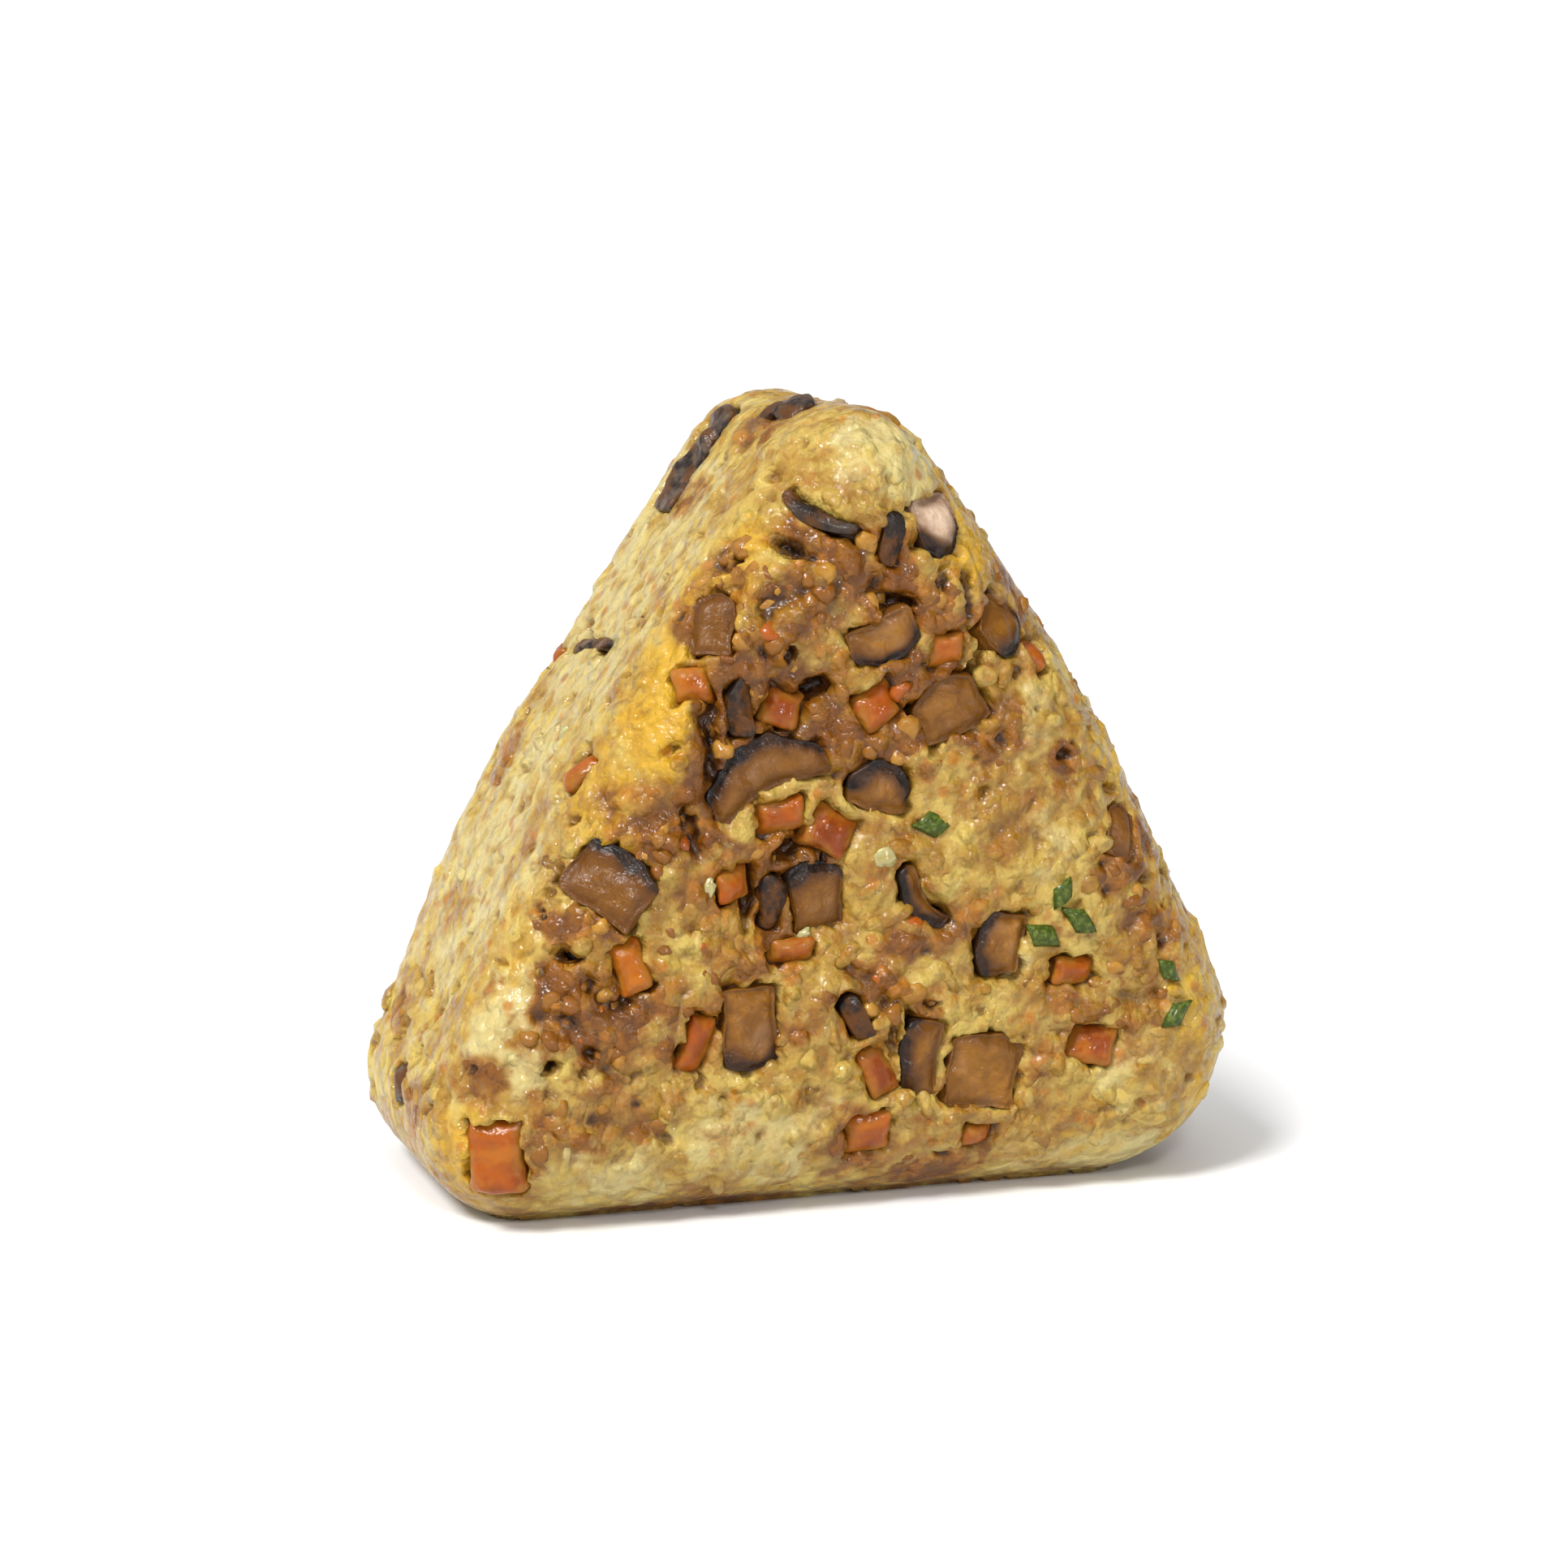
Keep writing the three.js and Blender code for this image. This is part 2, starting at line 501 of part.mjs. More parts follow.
const riceMaterial = new THREE.MeshStandardMaterial({ color: 0xcbb070, roughness: 0.5, metalness: 0 });
const mushroomMaterial = new THREE.MeshStandardMaterial({ color: 0x86603a, roughness: 0.4, metalness: 0 });
const carrotMaterial = new THREE.MeshStandardMaterial({ color: 0xc0661c, roughness: 0.4, metalness: 0 });

const onigiri = new THREE.Group();
const rice = new THREE.Mesh(riceBall(), riceMaterial);
rice.name = "rice_ball";
onigiri.add(rice);

for (const { topping, matrix } of placed) {
  const mesh = new THREE.Mesh(toppingGeometry(topping), "arch" in topping ? mushroomMaterial : carrotMaterial);
  mesh.name = topping.name;
  mesh.position.setFromMatrixPosition(matrix);
  mesh.quaternion.setFromRotationMatrix(matrix);
  onigiri.add(mesh);
}

// The middle of the foot becomes the origin
onigiri.updateMatrixWorld(true);
const bounds = new THREE.Box3().setFromObject(onigiri, true);
const middle = bounds.getCenter(new THREE.Vector3());
onigiri.position.set(-middle.x, -middle.y, -bounds.min.z);

export default onigiri;
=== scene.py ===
"""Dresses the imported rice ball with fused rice, loose kernels, mushroom, carrot, mince, onion and chive."""

import math

import bmesh
import bpy
import numpy as np
from bpy.props import FloatProperty, FloatVectorProperty, IntProperty, PointerProperty
from mathutils import Matrix, Vector, noise
from mathutils.bvhtree import BVHTree
from mathutils.kdtree import KDTree


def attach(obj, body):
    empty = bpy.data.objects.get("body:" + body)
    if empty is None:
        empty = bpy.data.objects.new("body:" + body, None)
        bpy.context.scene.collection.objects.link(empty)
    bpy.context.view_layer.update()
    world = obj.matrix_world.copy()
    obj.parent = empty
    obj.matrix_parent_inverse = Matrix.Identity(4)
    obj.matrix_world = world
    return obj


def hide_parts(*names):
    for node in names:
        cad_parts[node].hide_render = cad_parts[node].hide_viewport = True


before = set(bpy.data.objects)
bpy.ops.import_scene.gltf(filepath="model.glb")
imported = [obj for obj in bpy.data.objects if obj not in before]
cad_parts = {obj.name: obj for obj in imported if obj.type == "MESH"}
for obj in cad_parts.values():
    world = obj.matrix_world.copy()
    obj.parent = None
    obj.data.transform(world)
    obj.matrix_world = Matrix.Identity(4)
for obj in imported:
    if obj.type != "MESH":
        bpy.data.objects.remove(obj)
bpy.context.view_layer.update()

bl_info = {
    "name": "Seasoned rice ball",
    "version": (1, 0, 0),
    "blender": (4, 5, 0),
    "location": "3D View > Sidebar > Rice Ball",
    "description": "Makes the rice, the toppings and the studio of a triangular rice ball",
    "category": "Add Mesh",
}

MM = 0.001
BODY = "root"

# The block of rice, in millimetres, as the solid has it
WIDTH = 80
HEIGHT = 74.2
THICKNESS = 36
FOOT_LEFT_RADIUS = 9.3
FOOT_RIGHT_RADIUS = 14
TOP_RADIUS = 9.2
SIDE_BOW = 2.2
EDGE_RADIUS = 8.5
FACE_CROWN = 1.4
CROWN_REACH = 14
UNEVENNESS = (0.55, 17)  # height and size
NOISE_SEED = 20
SIDE_STEPS = 12
SETTLING_TURNS = 3
DEEP_SHARE = 0.4  # steps across the narrow sides for each step along them
FOOT_HEIGHT = 0.45  # what lies lower is flattened
CROWDED = 0.24  # where the grid's edges are shorter, the relief is calmed
RELIEF = (  # across, up, reach, height on the front face
    (-9, 47, 7, -1.7), (-8, 32, 5, -1.3), (-1, 70, 5.5, 1.3),
    (-33, 18, 5, 1.1), (6, 57, 4, 0.7), (-19, 46, 4.5, 0.9),
)

# The camera of the photograph
CAMERA_AZIMUTH = -20.5
CAMERA_ELEVATION = 10.5
CAMERA_ROLL = 1.3
CAMERA_DISTANCE = 0.36
CAMERA_AIM = Vector((0, 0, 0.0371))
IMAGE_SIDE = 1932  # pixels
AIM_PIXEL = (986, 970)  # where the aim lands in the photograph
FOCAL_PIXELS = 4608
SENSOR = 36  # millimetres

# Loose things on the rice, in millimetres
LOOSE_KERNELS = ((1, 0.2), (0.85, 0.35), (0.7, -0.25), (0.55, 0.1))  # share of the length, and bend
KERNEL_SCALES = (0.65, 1)
KERNEL_SUNK = 0.66
TILT = 0.25  # radians
CRUMB_RADIUS = 0.85
CRUMB_SPACING = 1.15
CRUMB_SCALES = (0.6, 1.35)
CRUMB_SUNK = 0.56
CRUMB_KINDS = 5
SNIP_RADIUS = 1.35
SNIP_WALL = 0.32
SNIP_ARC = 95  # degrees
SNIP_STEPS = 6
SNIP_RISE = 0.5

# The studio: lamp, place or direction, and size in metres or degrees
DOME = ((-0.3, 0.05, 0.95), 110)
KEY = ((-0.56, -0.36, 0.75), 16)
FRONT_LAMP = ((-0.12, -0.56, 0.4), 0.08)
LOW_LAMP = ((0.17, -0.56, 0.16), 0.055)
LOW_LAMP_SHARE = 0.6
FLOOR_SIZE = 12
HORIZON = {"From Min": 0.08, "From Max": 0.35, "To Min": 1.05}


def drawn(seed):
    """A seeded source of random numbers."""
    return np.random.default_rng(seed)


def smoothstep(low, high, value):
    """Eases from 0 at low to 1 at high."""
    t = np.clip((value - low) / (high - low), 0, 1)
    return t * t * (3 - 2 * t)


# The smooth block

CORNERS = (
    (-WIDTH / 2 + FOOT_LEFT_RADIUS, FOOT_LEFT_RADIUS, FOOT_LEFT_RADIUS),
    (WIDTH / 2 - FOOT_RIGHT_RADIUS, FOOT_RIGHT_RADIUS, FOOT_RIGHT_RADIUS),
    (0, HEIGHT - TOP_RADIUS, TOP_RADIUS),
)
BOWS = (0, SIDE_BOW, SIDE_BOW)


def side_normal(a, b):
    """Unit normal (x, z) of the line that touches two corner circles from outside."""
    dx, dz = b[0] - a[0], b[1] - a[1]
    length = math.hypot(dx, dz)
    slant = (a[2] - b[2]) / length
    flat = math.sqrt(1 - slant * slant)
    return dz / length * flat + dx / length * slant, -dx / length * flat + dz / length * slant


NORMALS = [side_normal(CORNERS[i], CORNERS[(i + 1) % 3]) for i in range(3)]


def side_points(i):
    """Points along the bowed side of the outline that follows a corner."""
    start, end = np.array(CORNERS[i]), np.array(CORNERS[(i + 1) % 3])
    t = np.arange(SIDE_STEPS + 1)[:, None] / SIDE_STEPS
    x_z_radius = start + (end - start) * t
    return x_z_radius[:, :2] + np.array(NORMALS[i]) * (x_z_radius[:, 2:] + BOWS[i] * 4 * t * (1 - t))


SIDES = [side_points(i) for i in range(3)]


def outline_distance(u, v):
    """How far flat points lie outside the outline of the broad faces, negative inside."""
    nearest = np.full(len(u), np.inf)
    for (x, z, radius), before, after, side in zip(CORNERS, NORMALS[-1:] + NORMALS, NORMALS, SIDES):
        start = math.atan2(before[1], before[0])
        sweep = (math.atan2(after[1], after[0]) - start) % (2 * math.pi)
        turn = (np.arctan2(v - z, u - x) - start) % (2 * math.pi)
        away = np.where(turn <= sweep, np.hypot(u - x, v - z) - radius, np.inf)
        nearest = np.where(np.abs(away) < np.abs(nearest), away, nearest)
        for (au, av), (bu, bv) in zip(side, side[1:]):
            eu, ev, pu, pv = bu - au, bv - av, u - au, v - av
            t = np.clip((pu * eu + pv * ev) / (eu * eu + ev * ev), 0, 1)
            away = np.where(pu * ev > pv * eu, 1, -1) * np.hypot(pu - eu * t, pv - ev * t)
            nearest = np.where(np.abs(away) < np.abs(nearest), away, nearest)
    return nearest


def flat_distance(u, v, starts, ends):
    """How far flat points lie outside an outline given by its edges, negative inside."""
    nearest = np.full(len(u), np.inf)
    inside = np.zeros(len(u), bool)
    for (au, av), (bu, bv) in zip(starts, ends):
        eu, ev, pu, pv = bu - au, bv - av, u - au, v - av
        t = np.clip((pu * eu + pv * ev) / max(eu * eu + ev * ev, 1e-12), 0, 1)
        nearest = np.minimum(nearest, (pu - eu * t) ** 2 + (pv - ev * t) ** 2)
        if av != bv:
            inside ^= ((av > v) != (bv > v)) & (u < eu * pv / ev + au)
    return np.where(inside, -1, 1) * np.sqrt(nearest)


def block_distance(p):
    """How far points lie outside the smooth block, negative inside."""
    out = outline_distance(p[:, 0], p[:, 2])
    share = np.clip(-out / CROWN_REACH, 0, 1)
    half = THICKNESS / 2 + FACE_CROWN * (1 - (1 - share) ** 2)
    d = out + EDGE_RADIUS
    e = np.abs(p[:, 1]) - half + EDGE_RADIUS
    return np.minimum(np.maximum(d, e), 0) + np.hypot(np.maximum(d, 0), np.maximum(e, 0)) - EDGE_RADIUS


def block_normal(p):
    """The way the smooth block faces at points."""
    step = 0.02 * np.eye(3)
    slope = np.stack([block_distance(p + s) - block_distance(p - s) for s in step], 1)
    return slope / np.linalg.norm(slope, axis=1, keepdims=True)


def onto_block(p):
    """Draws points onto the smooth block."""
    for _ in range(SETTLING_TURNS):
        p = p - block_normal(p) * block_distance(p)[:, None]
    return p


def lattice_noise(p, size):
    """Smooth noise from -1 to 1, the same as the solid's."""
    q = p / size
    low = np.floor(q).astype(np.int64)
    part = q - low
    ease = part * part * (3 - 2 * part)
    total = np.zeros(len(p))
    mask = np.int64(0xFFFFFFFF)
    for corner in np.ndindex(2, 2, 2):
        cell = (low + corner) & mask
        mixed = (cell[:, 0] * 374761393 & mask) ^ (cell[:, 1] * 668265263 & mask)
        mixed ^= (cell[:, 2] * 2147483647 & mask) ^ (NOISE_SEED * 974711 & mask)
        mixed = (mixed ^ (mixed >> 13)) * 1274126177 & mask
        value = (mixed ^ (mixed >> 16)) / 4294967296 * 2 - 1
        total += value * np.prod(np.where(corner, ease, 1 - ease), axis=1)
    return total


def swelling(p, n):
    """The broad swellings and dents of the rice above the smooth block."""
    rise = UNEVENNESS[0] * lattice_noise(p, UNEVENNESS[1])
    front = np.maximum(0, -n[:, 1])
    for x, z, reach, height in RELIEF:
        away = np.hypot(p[:, 0] - x, p[:, 2] - z) / reach
        rise += front * height * np.exp(-away * away)
    return rise


def block_grid(across, deep):
    """An even triangle grid over the sharp prism round the block: points and faces."""
    sharp = []
    for i, (x, z, radius) in enumerate(CORNERS):
        a, b = NORMALS[i - 1], NORMALS[i]
        reach = radius / (1 + a[0] * b[0] + a[1] * b[1])
        sharp.append(np.array((x + (a[0] + b[0]) * reach, z + (a[1] + b[1]) * reach)))
    triangles = []

    def on_face(i, j, y):
        """Grid points of a broad face."""
        at = sharp[0] + (np.outer(i, sharp[1] - sharp[0]) + np.outer(j, sharp[2] - sharp[0])) / across
        return np.stack([at[:, 0], np.full(len(at), y), at[:, 1]], 1)

    i, j = (g.ravel() for g in np.meshgrid(np.arange(across), np.arange(across), indexing="ij"))
    for y, turned in ((-THICKNESS / 2, False), (THICKNESS / 2, True)):
        low, high = i + j < across, i + j + 1 < across
        lower = [on_face(i[low], j[low], y), on_face(i[low] + 1, j[low], y),
                 on_face(i[low], j[low] + 1, y)]
        upper = [on_face(i[high] + 1, j[high], y), on_face(i[high] + 1, j[high] + 1, y),
                 on_face(i[high], j[high] + 1, y)]
        for corners in (lower, upper):
            triangles.append(np.stack(corners[::-1] if turned else corners, 1))
    s, t = (g.ravel() for g in np.meshgrid(np.arange(across), np.arange(deep), indexing="ij"))
    for k in range(3):
        a, b = sharp[k], sharp[(k + 1) % 3]

        def on_side(s, t):
            """Grid points of a narrow side."""
            at = a + np.outer(s, b - a) / across
            return np.stack([at[:, 0], THICKNESS * (t / deep - 0.5), at[:, 1]], 1)

        p00, p01, p11, p10 = on_side(s, t), on_side(s, t + 1), on_side(s + 1, t + 1), on_side(s + 1, t)
        triangles += [np.stack([p00, p01, p11], 1), np.stack([p00, p11, p10], 1)]
    loose = np.concatenate(triangles).reshape(-1, 3)
    _, first, inverse = np.unique(np.round(loose, 3), axis=0, return_index=True, return_inverse=True)
    return loose[first], inverse.reshape(-1, 3)


# What shows where, on the four sides

# Brown, sauce-stained places of each side: across and up (or along the slope and across it), half sizes,
# strength
STAINS = {
    "front": (
        (-14, 57, 4.2, 4.6, 0.95), (-8, 57.5, 7, 3.8, 0.7), (-2, 62.3, 6.5, 2.8, 0.85),
        (2, 57, 3, 3.5, 0.75), (7, 57, 4, 5, 0.5), (13, 57, 3.6, 4.5, 0.75),
        (-13.5, 48.5, 4, 5.5, 0.95), (-5, 47.5, 8, 4.5, 0.9), (4, 48, 7, 4.8, 0.9),
        (11, 46.5, 4.5, 3.6, 0.65), (0, 43.4, 5.5, 2.8, 0.65), (-16.3, 40.5, 1.8, 7, 1),
        (-22, 38.6, 5.5, 3.6, 0.8), (-26, 29, 5.5, 2, 0.8), (-13, 31, 7, 4.5, 0.55),
        (-7, 34, 4.5, 2.6, 0.85), (-12, 26, 6.5, 2.8, 0.55), (-27, 21, 5.5, 5.2, 0.85),
        (-20, 22.5, 5, 2.6, 0.5), (-28, 12, 7, 3.4, 0.45), (-36, 14, 3.4, 2.6, 0.5),
        (0, 21.3, 5, 2.6, 0.55), (6, 19, 3, 1.8, 0.5), (-1, 6.5, 4.2, 3.6, 0.75),
        (7.5, 3.2, 5, 1.8, 0.75), (12, 7, 3.6, 2.2, 0.4), (27, 33, 4.5, 3.2, 0.7),
        (29, 25.5, 4.5, 2.6, 0.55), (24, 17.8, 6, 2.6, 0.5), (19.4, 42.6, 1.7, 1.6, 0.75),
        (14, 40, 4, 2.8, 0.3), (12.5, 35.5, 3, 2.6, 0.4), (6, 26, 4, 2.6, 0.5), (3, 32.4, 4, 2.4, 0.35),
        (17, 20.5, 4.6, 2.2, 0.45), (33, 12, 2.6, 2.4, 0.4), (-16, 0.8, 9, 1.1, 0.9),
        (-22, 9.6, 2.6, 0.9, 0.55), (20, 8, 5, 1.5, 0.3), (-23, 15, 3, 2, 0.35), (8, 9.5, 5, 1.4, 0.35),
        (-4.5, 15.5, 3, 2, 0.3),
    ),
    "left": (
        (58, 2, 3, 4, 0.35), (47, -6, 4, 2.5, 0.3), (30, 8, 4, 3, 0.35), (24, -8, 5, 2.4, 0.35),
        (14, 3, 3.4, 4, 0.4), (3, 6, 3, 3, 0.5), (-4, -7, 3, 3, 0.5), (6, -9, 3, 2.2, 0.45),
        (67, -3, 3.4, 4, 0.6),
    ),
    "right": (
        (14, 3, 7, 5, 0.5), (33, -8, 8, 4, 0.6), (50, 5, 6, 5, 0.55), (62, -4, 5, 5, 0.5),
        (4, -8, 5, 4, 0.4),
    ),
    "back": (
        (-8, 41, 9, 6, 0.75), (10, 27, 8, 6, 0.6), (-21, 17, 7, 5, 0.65), (3, 57, 6, 6, 0.7),
        (20, 10, 7, 4, 0.5), (-4, 12, 5, 4, 0.45), (-24, 30, 4, 5, 0.5), (18, 42, 4, 6, 0.45),
    ),
}

# Golden places, where the outer rice has taken up oil; the front band along the foot at (20, 4.4) is painted
# bounce light instead
GOLDEN = {
    "front": (
        (-15, 62, 5, 8, 0.9), (-20, 50, 3.4, 9, 0.85), (-25, 40, 3.6, 6, 0.7), (-1, 69, 8, 5, 0.15),
        # Painted bounce light: (20, 4.4) is a golden band along the foot, lit by the white floor.
        (9, 62, 4, 4, 0.6), (-37, 6, 4, 7, 0.7), (20, 4.4, 7, 2.4, 0.3), (36, 9, 3, 6, 0.4),
        (26, 44, 3, 8, 0.5), (34, 18, 3, 8, 0.5),
    ),
    "left": (
        (44, -14, 14, 4, 0.4), (14, -13, 8, 4, 0.3),
    ),
    "back": (
        (0, 68, 7, 6, 0.3), (-18, 47, 4, 9, 0.3), (30, 18, 6, 7, 0.5),
    ),
    "right": (
        (30, 10, 16, 5, 0.5),
    ),
}

# Pale rice: almost no seasoning; the front rows at the right foot, (28, 12) and (27, 3), are painted bounce
# light instead
PALE = {
    "front": (
        (-33, 18.5, 3.8, 6.5, 1), (-12, 8, 10, 5.5, 0.6), (-24, 5, 8, 4, 0.6), (16, 46, 4, 6, 0.5),
        # Painted bounce light: (28, 12) and (27, 3) lighten the rice at the right foot, lit by the white
        # floor.
        (17, 34, 3.4, 5, 0.5), (2, 70, 7, 4, 0.8), (14, 22.8, 2.2, 1.8, 0.8), (28, 12, 7, 6, 0.45),
        (27, 3, 11, 3, 0.7),
    ),
    "left": (
        (20, 0, 16, 14, 0.65), (48, 2, 18, 13, 0.6),
    ),
    "back": (
        (-8, 25, 7, 5, 0.7), (26, 28, 5, 6, 0.5),
    ),
    "right": (
        (42, 2, 9, 8, 0.4), (22, 4, 7, 7, 0.3),
    ),
}

# Places where the mass is crumbled mince and sauce more than rice
MINCE_AREAS = {
    "front": (
        (-13, 57.5, 6, 4.6, 1), (-4, 59, 7, 3.4, 0.7), (-27, 21, 5, 5.4, 1), (-8, 47.5, 7, 4, 0.7),
        (4, 45, 5, 3.4, 0.7), (-20, 36, 5, 5, 0.6), (-14, 26, 6, 4, 0.6), (1, 21, 5, 2.6, 0.8),
        (24, 19, 6, 4, 0.6), (28, 30, 4, 5, 0.5), (-30, 11, 5, 4, 0.45),
    ),
    "left": (
        (3, 2, 5, 7, 0.5), (67, -2, 4, 5, 0.5),
    ),
    "back": (
        (-8, 41, 9, 6, 0.8), (10, 27, 8, 6, 0.7), (-21, 17, 7, 5, 0.7), (3, 57, 6, 6, 0.7),
    ),
    "right": (
        (33, -8, 8, 4, 0.6), (60, 0, 6, 5, 0.6),
    ),
}

# Pits where the rice has parted: place, half sizes, depth, turn in degrees
PITS = {
    "front": (
        (-15.6, 44.6, 1.2, 4.6, 2.8, 4), (-5.4, 49.9, 1.6, 1, 2.6, 10), (1.4, 57.6, 2.4, 1, 2.8, -8),
        (-7.4, 35.2, 2, 1.3, 2.4, 20), (-28.4, 26.2, 1.6, 0.7, 2, 0), (-8.2, 53.1, 0.7, 0.8, 1.9, 0),
        (-17.5, 37.5, 0.9, 2.6, 2.2, 12), (-30.2, 16.2, 1.2, 0.6, 1.7, 20),
        (-19.2, 8.7, 0.9, 0.6, 1.6, -20), (-11.5, 30, 0.8, 3.4, 2, -8), (4.1, 18.4, 0.8, 1.4, 2, 20),
        (2.6, 16.9, 0.6, 2.8, 2.2, 0), (9, 57, 0.5, 4, 1.8, 8), (10, 51.5, 0.7, 2.6, 2, -20),
        (3.9, 47, 0.6, 2.4, 1.6, 30), (8.6, 4.6, 1.6, 0.6, 1.8, -30), (7.4, 28.5, 0.6, 1.6, 1.4, 30),
        (19.3, 42.8, 0.8, 0.6, 1.5, 0), (28.2, 30.4, 0.9, 0.5, 1.4, 10), (-2.8, 24.2, 0.7, 0.5, 1.3, 0),
        (12.3, 16.5, 0.5, 1.2, 1.3, 0), (-8, 62.5, 2.4, 0.7, 2, -20), (-23.4, 21.5, 1.4, 0.5, 1.4, 15),
        (-26.6, 17.4, 0.8, 0.6, 1.4, 0), (6, 59.6, 0.5, 1.6, 1.3, 0),
    ),
    "left": (
        (43.2, 7.5, 0.7, 1.3, 1.6, 20), (42.2, 5, 0.6, 0.8, 1.4, 0), (36.5, 0, 0.6, 0.8, 1.1, 0),
        (28, 2, 0.5, 0.8, 1, 0), (5.5, -5, 0.8, 0.7, 1.3, 0), (1.5, 3, 0.7, 0.9, 1.4, 0),
        (-1, -9.5, 0.9, 0.7, 1.4, 0), (20, -4, 0.5, 0.6, 0.9, 0),
    ),
    "back": (
        (-14, 36, 1.4, 0.7, 2, 20), (6, 32, 0.7, 1.2, 1.8, 0), (-1, 50, 1.2, 0.6, 1.8, 0),
        (14, 16, 0.8, 0.6, 1.5, 0),
    ),
    "right": (
        (26, -6, 0.7, 1.1, 1.6, 0), (48, -3, 0.8, 0.7, 1.5, 0),
    ),
}

# Small pits drawn at random: how many on each side, and the least and most across and up
SMALL_PITS = {
    "left": (60, (-4, -15), (70, 15)), "right": (50, (-4, -15), (66, 15)),
    "front": (60, (-38, 2), (38, 72)), "back": (60, (-38, 2), (38, 72)),
}

# Each mushroom slice: turn of its skin edge in degrees, how much skin, and tone from dark to light
EDGE, WHOLE, BARE = "edge", "whole", "bare"
SLICES = {
    "mushroom_front_01": (24, EDGE, 0.28), "mushroom_front_02": (-14, EDGE, 0.42),
    "mushroom_front_03": (-32, EDGE, 0.2), "mushroom_front_04": (184, EDGE, 0.36),
    "mushroom_front_05": (86, EDGE, 0.45), "mushroom_front_06": (-10, BARE, 0.5),
    "mushroom_front_07": (190, EDGE, 0.95), "mushroom_front_08": (-8, WHOLE, 0.05),
    "mushroom_front_09": (152, WHOLE, 0.2), "mushroom_front_10": (206, EDGE, 0.42),
    "mushroom_front_11": (128, EDGE, 0.32), "mushroom_front_12": (82, EDGE, 0.5),
    "mushroom_front_13": (6, EDGE, 0.26), "mushroom_front_14": (-10, WHOLE, 0.05),
    "mushroom_front_15": (22, WHOLE, 0.1), "mushroom_front_16": (12, WHOLE, 0.15),
    "mushroom_front_17": (28, BARE, 0.36), "mushroom_front_18": (-130, EDGE, 0.28),
    "mushroom_front_19": (-22, BARE, 0.28), "mushroom_front_20": (8, BARE, 0.22),
    "mushroom_left_01": (4, WHOLE, 0.55), "mushroom_left_02": (12, WHOLE, 0.9),
    "mushroom_left_03": (20, WHOLE, 0.6), "mushroom_left_04": (12, WHOLE, 0.35),
    "mushroom_right_01": (36, EDGE, 0.4), "mushroom_right_02": (-48, EDGE, 0.5),
    "mushroom_back_01": (-30, EDGE, 0.35), "mushroom_back_02": (64, EDGE, 0.45),
    "mushroom_back_03": (140, EDGE, 0.4), "mushroom_back_04": (-75, EDGE, 0.3),
    "mushroom_back_05": (15, EDGE, 0.55),
}

# Carrots that aren't of the usual tone, from deep to light
CARROT_TONES = {"carrot_front_01": 0.45, "carrot_front_02": 0.05, "carrot_front_09": 0.45}

# Snips of chive: side, place, turn in degrees, length
CHIVES = (
    ("front", 5.8, 36.9, 70, 2.6), ("front", 18.8, 29.9, 8, 2), ("front", 20.6, 27.2, 30, 2.8),
    ("front", 17, 25.9, 80, 2.7), ("front", 30.6, 21.6, 12, 2), ("front", 31.4, 17.4, -30, 2.6),
    ("back", -12, 22, 50, 2.6), ("back", -13.5, 50, -20, 2.6), ("right", 38, 9, 15, 2.6),
)

# Translucent bits of onion: side, place, radius
ONION = (
    ("front", 1.4, 34, 1.5), ("front", -6.2, 26.9, 1), ("front", -15.5, 31.8, 1.1),
    ("front", 14.2, 22.6, 1.4), ("front", 9.5, 47.5, 1), ("front", -6, 41.5, 0.9),
    ("left", 33, -3, 1.2), ("back", 14, 35, 1.4), ("back", -10, 15, 1.2), ("right", 24, 5, 1.2),
)


def side_weights(n):
    """How much points with these normals belong to each side of the block."""
    left, right = NORMALS[2], NORMALS[1]
    return {
        "front": smoothstep(0.1, 0.55, -n[:, 1]),
        "back": smoothstep(0.1, 0.55, n[:, 1]),
        "left": smoothstep(0.35, 0.8, n[:, 0] * left[0] + n[:, 2] * left[1]),
        "right": smoothstep(0.35, 0.8, n[:, 0] * right[0] + n[:, 2] * right[1]),
    }


def slope_frame(side):
    """The foot corner, the way up the slope and the way out of a slanting side, in the X-Z plane."""
    foot, top = CORNERS[0 if side == "left" else 1], CORNERS[2]
    along = np.array((top[0] - foot[0], top[1] - foot[1]))
    out = NORMALS[2 if side == "left" else 1]
    return np.array(foot[:2]), along / np.linalg.norm(along), np.array(out)


def side_coordinates(p, side):
    """Points in the measures that the tables above use for a side."""
    if side in ("front", "back"):
        return p[:, 0], p[:, 2]
    foot, along, _ = slope_frame(side)
    return (p[:, [0, 2]] - foot) @ along, p[:, 1]


def painted(table, p, n, wobble):
    """The strongest mark of a table at each point, with uneven borders."""
    weights = side_weights(n)
    total = np.zeros(len(p))
    for side, rows in table.items():
        u, v = side_coordinates(p, side)
        for a, b, half_a, half_b, strength in rows:
            away = np.sqrt(((u - a) / half_a) ** 2 + ((v - b) / half_b) ** 2)
            total = np.maximum(total, strength * weights[side] * smoothstep(1.35, 0.55, away + wobble))
    return total


def fractal(p, size, octaves=3):
    """Layered smooth noise, from about -1 to 1."""
    total, weight, height = np.zeros(len(p)), 0, 1
    for octave in range(octaves):
        total += height * lattice_noise(p * 2 ** octave + 31.7 * octave, size)
        weight += height
        height *= 0.55
    return total / weight * 1.5


# Meshes

def new_mesh_object(name, points, faces):
    """A mesh object from points in millimetres."""
    mesh = bpy.data.meshes.new(name)
    mesh.from_pydata((points * MM).tolist(), [], [tuple(f) for f in faces])
    mesh.shade_smooth()
    obj = bpy.data.objects.new(name, mesh)
    bpy.context.scene.collection.objects.link(obj)
    return obj


